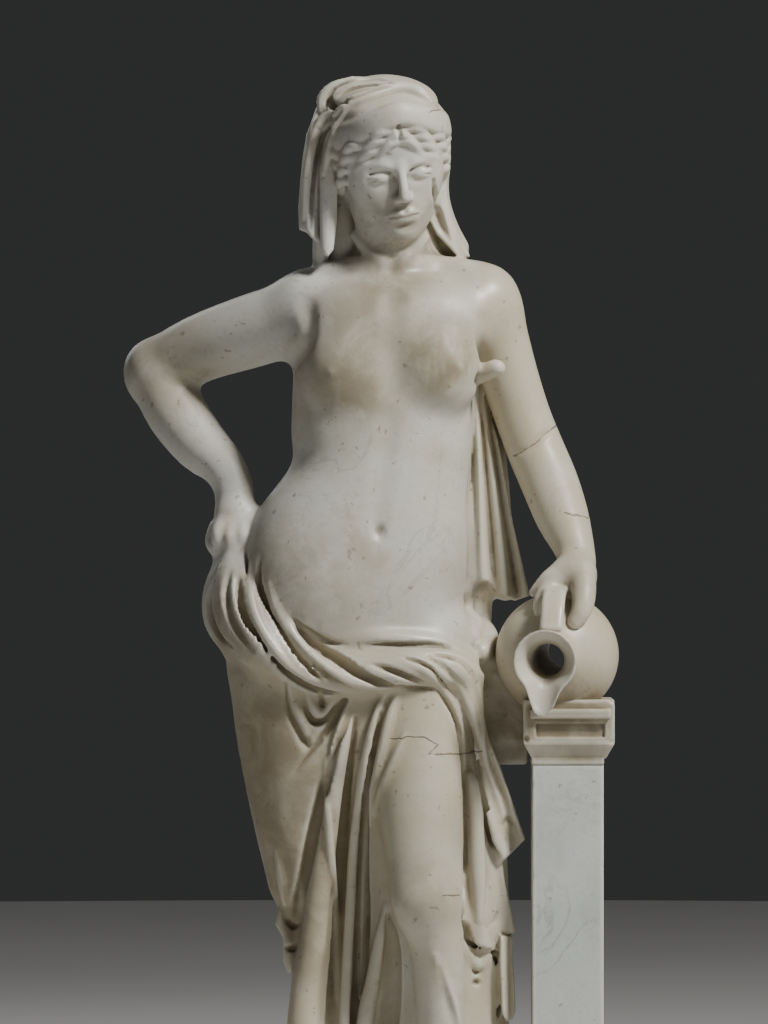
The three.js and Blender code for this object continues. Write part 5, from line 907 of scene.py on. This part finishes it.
def capital(c):
    y = PILLAR[1]
    c.box([183, y, 795], [68, 66, 32], r=2.5, k=1)
    for i in range(7):
        t = i / 6
        half = 55 + 11 * t
        c.box([183.2, y, 742 + 20 * t], [half + 1, half, 2.4], r=1, k=3)
    c.box([181.5, y, 736], [54, 55, 6], r=2, k=1)
    # sunk panel with a raised frame round it
    c.box([185, y - 66, 781.5], [51, 4, 10.5], r=2, k=1.5, cut=True)
    c.box([185, y - 70, 806], [60, 6, 7], r=3, k=2)
    # old losses: top corner, edges
    c.blob([256, y - 64, 830], [13, 16, 9], k=4, cut=True)
    c.blob([250, y - 72, 764], [10, 8, 5], k=3, cut=True)
    c.blob([118, y - 70, 768], [6, 9, 7], k=3, cut=True)
    c.blob([213, y - 72, 829], [18, 9, 4], k=4, cut=True)


def shaft(c):
    """The plain upright, with small chips out of its edges."""
    x, y = PILLAR
    c.box([x, y, 410.5], [53, 53, 320.2], r=1.6, k=1)
    rng = np.random.default_rng(7)
    for _ in range(26):
        z = rng.uniform(110, 720)
        side = rng.choice([-1, 1], p=[0.72, 0.28])
        front = rng.choice([-1, 1], p=[0.75, 0.25])
        size = rng.uniform(1.6, 4.4)
        c.blob([x + side * 54, y + front * 54, z], [size, size, size * rng.uniform(1, 2.6)], k=1.5, cut=True)


def base_block(c):
    """The low base, with its upper and lower edges worn."""
    wide, deep, high = BASE[0] / 2, BASE[1] / 2, BASE[2]
    c.box([0, 0, high / 2], [wide, deep, high / 2], r=3, k=1)
    rng = np.random.default_rng(3)
    for _ in range(30):
        along = rng.uniform(-1, 1)
        side = rng.choice([-1, 1])
        size = rng.uniform(2.5, 7)
        if rng.uniform() < 0.6:
            spot = [along * wide, side * (deep + 1), rng.choice([high + 1, 2])]
        else:
            spot = [side * (wide + 1), along * deep, high + 1]
        c.blob(spot, [size * 1.6, size, size * 0.7], k=3, cut=True)


# From the field to a mesh -------------------------------------------------------------------------
def skin(c):
    """Points (mm) and faces of the field's zero level."""
    grid = openvdb.FloatGrid(FAR)
    grid.copyFromArray(np.clip(c.field, -FAR, FAR).astype(F))
    points, triangles, quads = grid.convertToPolygons(isovalue=0.0, adaptivity=0.0)
    points = points * c.step + c.low
    return points.astype(float), quads, triangles


def make_mesh(name, points, quads, triangles):
    mesh = bpy.data.meshes.new(name)
    sides = np.concatenate([np.full(len(quads), 4), np.full(len(triangles), 3)])
    corners = np.concatenate([quads[:, ::-1].ravel(), triangles[:, ::-1].ravel()]).astype(np.int32)
    mesh.vertices.add(len(points))
    mesh.vertices.foreach_set("co", (points * MM).astype(F).ravel())
    mesh.loops.add(len(corners))
    mesh.loops.foreach_set("vertex_index", corners)
    mesh.polygons.add(len(sides))
    starts = np.concatenate([[0], np.cumsum(sides)[:-1]]).astype(np.int32)
    mesh.polygons.foreach_set("loop_start", starts)
    mesh.update(calc_edges=True)
    mesh.validate()
    thing = bpy.data.objects.new(name, mesh)
    bpy.context.scene.collection.objects.link(thing)
    return thing


def coordinates(thing):
    out = np.empty(len(thing.data.vertices) * 3, F)
    thing.data.vertices.foreach_get("co", out)
    return out.reshape(-1, 3).astype(float) / MM


def place_points(thing, points):
    thing.data.vertices.foreach_set("co", (points * MM).astype(F).ravel())
    thing.data.update()


def settle(c, points, times=4, most=3.0):
    """Move points along the slope of the field until they lie on its skin."""
    e = c.step * 0.5
    for _ in range(times):
        rise = [c.sample(points + e * axis) - c.sample(points - e * axis) for axis in np.eye(3)]
        slope = np.stack(rise, 1) / (2 * e)
        steep = np.maximum((slope ** 2).sum(1), 0.25)
        move = -(c.sample(points) / steep)[:, None] * slope
        length = np.linalg.norm(move, axis=1, keepdims=True)
        points = points + move * np.minimum(1, most / np.maximum(length, 1e-6))
    return points


def apply(thing, kind, **values):
    modifier = thing.modifiers.new(kind.lower(), kind)
    for key, value in values.items():
        setattr(modifier, key, value)
    bpy.context.view_layer.objects.active = thing
    bpy.ops.object.modifier_apply(modifier=modifier.name)


def largest_only(points, quads, triangles):
    """Drops loose crumbs: keeps the faces that hang together with the biggest body."""
    label = np.arange(len(points))
    edges = [quads[:, [i, i + 1]] for i in range(3)] + [triangles[:, [i, i + 1]] for i in range(2)]
    edges = np.concatenate(edges)
    while True:
        low = np.minimum(label[edges[:, 0]], label[edges[:, 1]])
        before = label.copy()
        np.minimum.at(label, edges[:, 0], low)
        np.minimum.at(label, edges[:, 1], low)
        label = label[label]
        if (label == before).all():
            break
    names, counts = np.unique(label, return_counts=True)
    kept = label == names[counts.argmax()]
    number = np.cumsum(kept) - 1
    quads, triangles = (number[faces[kept[faces[:, 0]]]] for faces in (quads, triangles))
    return points[kept], quads, triangles


def attribute(thing, name, values):
    made = thing.data.attributes.new(name, "FLOAT", "POINT")
    made.data.foreach_set("value", values.astype(F))


# Dirt is judged close by, and dirt with painted shade over a hand's breadth; these are the distances (mm).
NEAR_REACH = 6.0
FAR_STEP = 12


def grime_and_shade(thing, c):
    """Where dirt sits and where shade is painted: how hollow (1) or proud (-1) the stone is, close by (dirt)
    and over a hand's breadth (dirt and painted shade).
    """
    points = coordinates(thing)
    near = Clay(c.low, c.high, c.step)
    near.field = np.clip(c.field, -2 * NEAR_REACH, 2 * NEAR_REACH)
    near.soften(int(round((NEAR_REACH / c.step) ** 2)))
    attribute(thing, "hollow", np.clip(-near.sample(points) / NEAR_REACH * 3.0, -1, 1))
    # over a hand's breadth: the broad hollows, which take a brown film of dirt and painted shade
    skip = max(1, int(round(FAR_STEP / c.step)))
    far = Clay(c.low, c.high, c.step * skip)
    coarse = c.field[::skip, ::skip, ::skip]
    wide, deep, high = coarse.shape
    far.field[:wide, :deep, :high] = np.clip(coarse, -FAR, FAR)
    far.soften(8)
    attribute(thing, "shade", np.clip(-far.sample(points) / (2 * FAR_STEP), -1, 1))


# Marble -------------------------------------------------------------------------------------------
class Nodes:
    """Short names for building one material's tree."""
    def __init__(self, name):
        self.material = bpy.data.materials.new(name)
        self.material.use_nodes = True
        self.tree = self.material.node_tree
        self.shader = self.tree.nodes["Principled BSDF"]
        self.place = self.new("ShaderNodeTexCoord").outputs["Object"]

    def new(self, kind, **values):
        node = self.tree.nodes.new(kind)
        for key, value in values.items():
            setattr(node, key, value)
        return node

    def put(self, value, socket):
        if isinstance(value, bpy.types.NodeSocket):
            self.tree.links.new(value, socket)
        else:
            socket.default_value = value

    def noise(self, scale, detail=4, rough=0.55, warp=0.0, place=None):
        node = self.new("ShaderNodeTexNoise")
        self.put(place or self.place, node.inputs["Vector"])
        for key, value in (("Scale", scale), ("Detail", detail), ("Roughness", rough), ("Distortion", warp)):
            node.inputs[key].default_value = value
        return node.outputs["Fac"]

    def math(self, kind, a, b=0.0, clamp=False):
        node = self.new("ShaderNodeMath", operation=kind, use_clamp=clamp)
        self.put(a, node.inputs[0])
        self.put(b, node.inputs[1])
        return node.outputs[0]

    def range(self, value, low, high, to_low=0.0, to_high=1.0):
        node = self.new("ShaderNodeMapRange", interpolation_type="SMOOTHSTEP")
        for socket, v in zip(node.inputs, (value, low, high, to_low, to_high)):
            self.put(v, socket)
        return node.outputs[0]

    def mix(self, amount, a, b, blend="MIX"):
        node = self.new("ShaderNodeMix", data_type="RGBA", blend_type=blend)
        self.put(amount, node.inputs[0])
        self.put(a, node.inputs[6])
        self.put(b, node.inputs[7])
        return node.outputs[2]

    def value(self, name):
        return self.new("ShaderNodeAttribute", attribute_name=name).outputs["Fac"]

    def vector(self, kind, a, b, out="Vector"):
        node = self.new("ShaderNodeVectorMath", operation=kind)
        self.put(a, node.inputs[0])
        self.put(b, node.inputs[1])
        return node.outputs[out]

    def crack(self, flat, points, width):
        """1 on a broken line of (x, z) points in millimetres, falling to 0 at its width."""
        found = None
        for a, b in zip(points[:-1], points[1:]):
            start = np.array((a[0], 0, a[1])) * MM
            along = np.array((b[0] - a[0], 0, b[1] - a[1])) * MM
            off = self.vector("SUBTRACT", flat, tuple(start))
            t = self.vector("DOT_PRODUCT", off, tuple(along / (along @ along)), "Value")
            t = self.math("MULTIPLY", t, 1.0, True)
            step = self.new("ShaderNodeVectorMath", operation="SCALE")
            step.inputs[0].default_value = tuple(along)
            self.put(t, step.inputs["Scale"])
            rest = self.vector("SUBTRACT", off, step.outputs["Vector"])
            far = self.vector("LENGTH", rest, (0, 0, 0), "Value")
            found = far if found is None else self.math("MINIMUM", found, far)
        return self.range(found, width * 0.35 * MM, width * MM, 1.0, 0.0)

    def spot(self, middle, reach):
        """1 at a point of the stone (millimetres), falling to 0 at its reach."""
        far = self.vector("DISTANCE", self.place, tuple(np.array(middle) * MM), "Value")
        return self.range(far, reach * 0.25 * MM, reach * MM, 1.0, 0.0)

    def bump(self, height, strength, distance, under=None):
        node = self.new("ShaderNodeBump")
        node.inputs["Strength"].default_value = strength
        node.inputs["Distance"].default_value = distance
        self.put(height, node.inputs["Height"])
        if under is not None:
            self.put(under, node.inputs["Normal"])
        return node.outputs["Normal"]


def colour(red, green, blue):
    """A screen colour (0 to 255) as the linear value that the shader takes."""
    return tuple(((v / 255 + 0.055) / 1.055) ** 2.4 for v in (red, green, blue)) + (1.0,)


# Cracks seen from the front, as broken lines of (x, z). The warp that makes them wander moves them
# back by about CRACK_SHIFT (mm) in x and z, so each line is first moved forward by as much.
CRACK_SHIFT = (3, 4)
CRACKS = [
    [(-84, 768), (-58, 772), (-30, 771), (-12, 760), (-25, 746), (23, 746), (54, 750)],
    [(-4, 538), (20, 539)],
    [(104, 1189), (130, 1205), (168, 1236)],
    [(178, 1104), (214, 1097)],
    [(-24, 1699), (-8, 1706)],
]
# Brownish stains [place, reach, strength], some of them painted shade, and places rubbed to a polish [place,
# reach].
STAINS_AND_SHADE = [
    [(-6, -112, 1334), 98, 0.9], [(-142, -110, 1286), 80, 0.8], [(-80, -60, 1470), 100, 0.7],
    [(-140, -90, 1390), 110, 0.6], [(-200, -70, 1010), 140, 0.7], [(40, -100, 1020), 90, 0.3],
    [(-84, -60, 1540), 80, 0.5], [(30, -110, 640), 80, 0.3], [(-30, -140, 540), 80, 0.5],
    # painted shade with some stain: the arm's far side, the capital and strut below the jug, and the left of
    # the skirt and roll
    [(-400, 90, 1330), 110, 0.5], [(185, -106, 782), 130, 0.9], [(90, -20, 780), 110, 0.8],
    [(-250, -60, 720), 210, 0.8], [(-210, -60, 520), 190, 0.7], [(-310, -70, 930), 110, 0.7],
    [(200, -100, 1010), 60, 0.4],
]
POLISHED = [
    [(-98, -120, 1110), 120], [(-60, -120, 1010), 110], [(-28, -150, 690), 130], [(-110, -100, 1220), 90],
]


def marble(name, light, warm, dark, stain_and_shade, veins=0.25, dirt_and_shade=1.0, gloss=0.42, marked=False):
    """Clouded, veined and soiled stone, with painted shade in its broad hollows; marked adds the cloth's
    skin, stains (partly painted shade), polish and cracks.
    """
    n = Nodes(name)
    hollow = n.value("hollow")
    shade = n.value("shade")
    cloud = n.noise(2.6, 5, 0.6, 0.6)
    blotch = n.noise(9.0, 6, 0.62, 0.4)
    grain = n.noise(120.0, 3, 0.6)
    crystal = n.noise(620.0, 2, 0.5)
    base = n.mix(n.range(cloud, 0.36, 0.66), light, warm)
    base = n.mix(n.math("MULTIPLY", n.range(blotch, 0.5, 0.74), 0.55), base, stain_and_shade)
    base = n.mix(n.math("MULTIPLY", n.range(grain, 0.5, 0.75), 0.16), base, dark)
    base = n.mix(n.math("MULTIPLY", n.range(crystal, 0.52, 0.8), 0.16), base, colour(236, 236, 230))
    # thin grey veins where a slow warped field crosses its middle
    flow = n.noise(3.4, 7, 0.58, 1.6)
    thin = n.math("ABSOLUTE", n.math("SUBTRACT", flow, 0.5))
    vein = n.math("MULTIPLY", n.range(thin, 0.0, 0.014, 1.0, 0.0), n.range(n.noise(5.0), 0.48, 0.66))
    base = n.mix(n.math("MULTIPLY", vein, veins), base, colour(118, 118, 116))
    polish = 0.0
    if marked:
        apart = n.new("ShaderNodeSeparateXYZ")
        n.put(n.place, apart.inputs[0])
        x, y, z = apart.outputs
        # cloth keeps an ochre skin that the bare body has lost
        cloth = n.math("MAXIMUM", n.range(z, 0.94, 0.86), n.range(x, 0.045, 0.06))
        ochre = n.math("MULTIPLY", cloth, n.range(n.noise(7.0, 5, 0.6), 0.3, 0.7, 0.15, 0.6))
        base = n.mix(ochre, base, colour(186, 170, 136))
        mottle = n.range(n.noise(15.0, 6, 0.65, 0.5), 0.26, 0.6, 0.2, 1.0)
        # brownish stains, with painted shade on the dark left side and below the jug
        for middle, reach, strength in STAINS_AND_SHADE:
            amount = n.math("MULTIPLY", n.spot(middle, reach), mottle)
            amount = n.math("MULTIPLY", amount, strength, True)
            base = n.mix(amount, base, colour(134, 122, 98))
        for middle, reach in POLISHED:
            polish = n.math("MAXIMUM", polish, n.spot(middle, reach))
        wander = n.new("ShaderNodeCombineXYZ")
        n.put(n.math("ADD", x, n.math("MULTIPLY", n.noise(60.0), 0.006)), wander.inputs["X"])
        n.put(n.math("ADD", z, n.math("MULTIPLY", n.noise(75.0, 5), 0.008)), wander.inputs["Z"])
        front = n.range(y, 0.04, 0.03)
        split = 0.0
        for points in CRACKS:
            points = [(a + CRACK_SHIFT[0], b + CRACK_SHIFT[1]) for a, b in points]
            split = n.math("MAXIMUM", split, n.crack(wander.outputs[0], points, 1.5))
        faint = n.range(n.noise(52.0), 0.34, 0.5, 0.25, 1.0)
        split = n.math("MULTIPLY", n.math("MULTIPLY", split, front), faint)
    # a brown film over the broad hollows, dirt and painted shade; brown dirt settled in the small hollows;
    # rubbed high places left clean
    patch = n.range(n.noise(26.0, 5, 0.6), 0.3, 0.7)
    thick = n.math("ADD", n.math("MULTIPLY", patch, 0.5), 0.25)
    film = n.math("MULTIPLY", n.range(shade, 0.05, 0.6), thick)
    base = n.mix(n.math("MULTIPLY", film, 0.75 * dirt_and_shade, clamp=True), base, stain_and_shade)
    thick = n.math("ADD", n.math("MULTIPLY", patch, 0.45), 0.5)
    settled = n.math("MULTIPLY", n.range(hollow, 0.16, 0.85), thick)
    settled = n.math("MULTIPLY", settled, dirt_and_shade, clamp=True)
    base = n.mix(n.math("MULTIPLY", settled, 0.85), base, colour(104, 92, 68))
    speck = n.range(n.noise(74.0, 2, 0.5, 0.3), 0.68, 0.73)
    base = n.mix(n.math("MULTIPLY", speck, 0.5), base, colour(112, 100, 80))
    rubbed = n.range(hollow, -0.1, -0.6)
    base = n.mix(n.math("MULTIPLY", rubbed, 0.35), base, colour(226, 224, 214))
    if marked:
        base = n.mix(n.math("MULTIPLY", split, 0.7), base, colour(92, 80, 62))
    n.put(base, n.shader.inputs["Base Color"])
    rough = n.range(blotch, 0.3, 0.72, gloss - 0.08, gloss + 0.16)
    rough = n.math("ADD", rough, n.math("MULTIPLY", settled, 0.3))
    rough = n.math("SUBTRACT", rough, n.math("MULTIPLY", rubbed, 0.08), clamp=True)
    if marked:
        rough = n.math("SUBTRACT", rough, n.math("MULTIPLY", polish, 0.12), clamp=True)
    n.put(rough, n.shader.inputs["Roughness"])
    pits = n.range(n.noise(210.0, 2, 0.5), 0.24, 0.4)
    normal = n.bump(n.noise(46.0, 6, 0.62), 0.22, 0.0012)
    normal = n.bump(pits, 0.3, 0.0004, normal)
    normal = n.bump(n.noise(900.0, 2, 0.5), 0.12, 0.0003, normal)
    if marked:
        normal = n.bump(n.math("MULTIPLY", split, -1.0), 0.8, 0.0015, normal)
    n.put(normal, n.shader.inputs["Normal"])
    n.shader.inputs["Specular IOR Level"].default_value = 0.45
    return n.material


WARM = marble("warm_marble", colour(204, 203, 194), colour(186, 180, 162), colour(128, 120, 100),
              colour(170, 156, 128), marked=True)
COOL = marble("cool_marble", colour(202, 206, 202), colour(184, 190, 186), colour(140, 143, 138),
              colour(162, 165, 156), veins=0.5, dirt_and_shade=0.6, gloss=0.46)


# The pieces ---------------------------------------------------------------------------------------
def finish_piece(thing, c, slot, material):
    grime_and_shade(thing, c)
    thing.data.materials.append(material)
    thing.data.shade_smooth()
    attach(thing, "root")
    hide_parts("pillar_shaft" if slot == "cool_marble" else "figure")
    return thing


def triangle_count(thing):
    return sum(len(p.vertices) - 2 for p in thing.data.polygons)


def small_piece(name, shape, low, high, slot, material, faces, step=FINE_STEP):
    c = Clay(low, high, step)
    shape(c)
    points, quads, triangles = skin(c)
    points = settle(c, points)
    thing = make_mesh(name, points, quads, triangles)
    count = triangle_count(thing)
    if count > faces:
        apply(thing, "DECIMATE", ratio=faces / count)
    return finish_piece(thing, c, slot, material)


def refine_head(thing):
    """Splits the faces round the head in four and lays them on a finer carving. Returns what lies there."""
    fine = Clay(*HEAD_ROOM, HEAD_STEP)
    build(fine)
    low, high = np.array(HEAD_ROOM[0]) + HEAD_EDGE, np.array(HEAD_ROOM[1]) - HEAD_EDGE
    at = coordinates(thing)
    inside = ((at > low) & (at < high)).all(1)
    bm = bmesh.new()
    bm.from_mesh(thing.data)
    bm.verts.ensure_lookup_table()
    edges = [e for e in bm.edges if inside[e.verts[0].index] and inside[e.verts[1].index]]
    bmesh.ops.subdivide_edges(bm, edges=edges, cuts=1, use_grid_fill=True)
    bmesh.ops.triangulate(bm, faces=[f for f in bm.faces if len(f.verts) > 4])
    bm.to_mesh(thing.data)
    bm.free()
    at = coordinates(thing)
    inside = ((at > low) & (at < high)).all(1)
    # ease from the coarse skin to the fine one over the border of the box
    border = np.clip(np.minimum(at - low, high - at).min(1) / HEAD_BORDER, 0, 1)[:, None]
    near = at[inside]
    moved = settle(fine, near, times=6, most=1.5)
    at[inside] = near + (moved - near) * border[inside]
    place_points(thing, at)
    return at, inside


def figure():
    c = Clay(*FIGURE_ROOM, STEP)
    build(c)
    thing = make_mesh("statue_block", *largest_only(*skin(c)))
    apply(thing, "SMOOTH", factor=0.45, iterations=2)
    at, head_part = refine_head(thing)
    # thin the block, sparing the head most and the bare front of the body a little
    spare = thing.vertex_groups.new(name="spare")
    x, y, z = at.T
    chest = (y < 0) & (z > 1020) & (x < 70) & (x > -230)
    weight = np.where(head_part, HEAD_WEIGHT, np.where(chest, CHEST_WEIGHT, 1.0))
    for level in (HEAD_WEIGHT, CHEST_WEIGHT, 1.0):
        spare.add(np.flatnonzero(weight == level).tolist(), level, "REPLACE")
    ratio = min(1, FIGURE_FACES / triangle_count(thing))
    apply(thing, "DECIMATE", ratio=ratio, vertex_group="spare", vertex_group_factor=HEAD_CARE)
    return finish_piece(thing, c, "warm_marble", WARM)


figure()
small_piece("jug", jug, *JUG_ROOM, "warm_marble", WARM, 60000)
small_piece("capital", capital, (104, -118, 722), (262, 38, 838), "warm_marble", WARM, 40000)
small_piece("base", base_block, (-285, -205, -10), (285, 205, 100), "warm_marble", WARM, 40000, STEP)
small_piece("pillar_upright", shaft, (120, -102, 82), (244, 22, 738), "cool_marble", COOL, 50000, SHAFT_STEP)


# Floor, light and camera --------------------------------------------------------------------------
LIGHT_AIM = (-0.09, 0, 1.1)
BACKDROP = (0.6, 0.61, 0.62, 1)
BACKDROP_STRENGTH = 0.05
VIEW_DISTANCE = 10.0
VIEW_CENTRE = (-0.0915, 1.1055)
VIEW_HEIGHT = 1.536
SENSOR_HEIGHT = 24


def plain_floor():
    bpy.ops.mesh.primitive_circle_add(vertices=96, radius=9, fill_type="NGON", location=(0, 0, 0))
    floor = bpy.context.object
    floor.name = "floor"
    n = Nodes("floor_pale")
    n.put(n.mix(n.noise(1.4, 4), colour(214, 214, 212), colour(222, 222, 220)), n.shader.inputs["Base Color"])
    n.shader.inputs["Roughness"].default_value = 0.8
    floor.data.materials.append(n.material)


def lamp(name, where, size, power, tint=(1, 1, 1)):
    """A square area light that looks at the middle of the statue."""
    light = bpy.data.lights.new(name, "AREA")
    light.shape = "SQUARE"
    light.size = size
    light.energy = power
    light.color = tint
    thing = bpy.data.objects.new(name, light)
    thing.location = where
    aim = Vector(LIGHT_AIM) - Vector(where)
    thing.rotation_euler = aim.to_track_quat("-Z", "Y").to_euler()
    thing.visible_camera = False
    bpy.context.scene.collection.objects.link(thing)


plain_floor()
lamp("key", (2.9, -2.5, 4.9), 0.9, 430, (1.0, 0.985, 0.955))
lamp("fill", (-3.0, -4.4, 1.7), 2.6, 5, (0.95, 0.97, 1.0))
lamp("rim", (-2.2, 3.4, 3.0), 2.0, 26)
world = bpy.data.worlds.new("studio")
world.use_nodes = True
world.node_tree.nodes["Background"].inputs["Color"].default_value = BACKDROP
world.node_tree.nodes["Background"].inputs["Strength"].default_value = BACKDROP_STRENGTH
bpy.context.scene.world = world

camera = bpy.data.cameras.new("camera")
camera.sensor_fit = "VERTICAL"
camera.sensor_height = SENSOR_HEIGHT
camera.lens = SENSOR_HEIGHT * VIEW_DISTANCE / VIEW_HEIGHT
camera.clip_end = 60
viewer = bpy.data.objects.new("camera", camera)
viewer.location = (VIEW_CENTRE[0], -VIEW_DISTANCE, VIEW_CENTRE[1])
viewer.rotation_euler = (math.pi / 2, 0, 0)
bpy.context.scene.collection.objects.link(viewer)
bpy.context.scene.camera = viewer
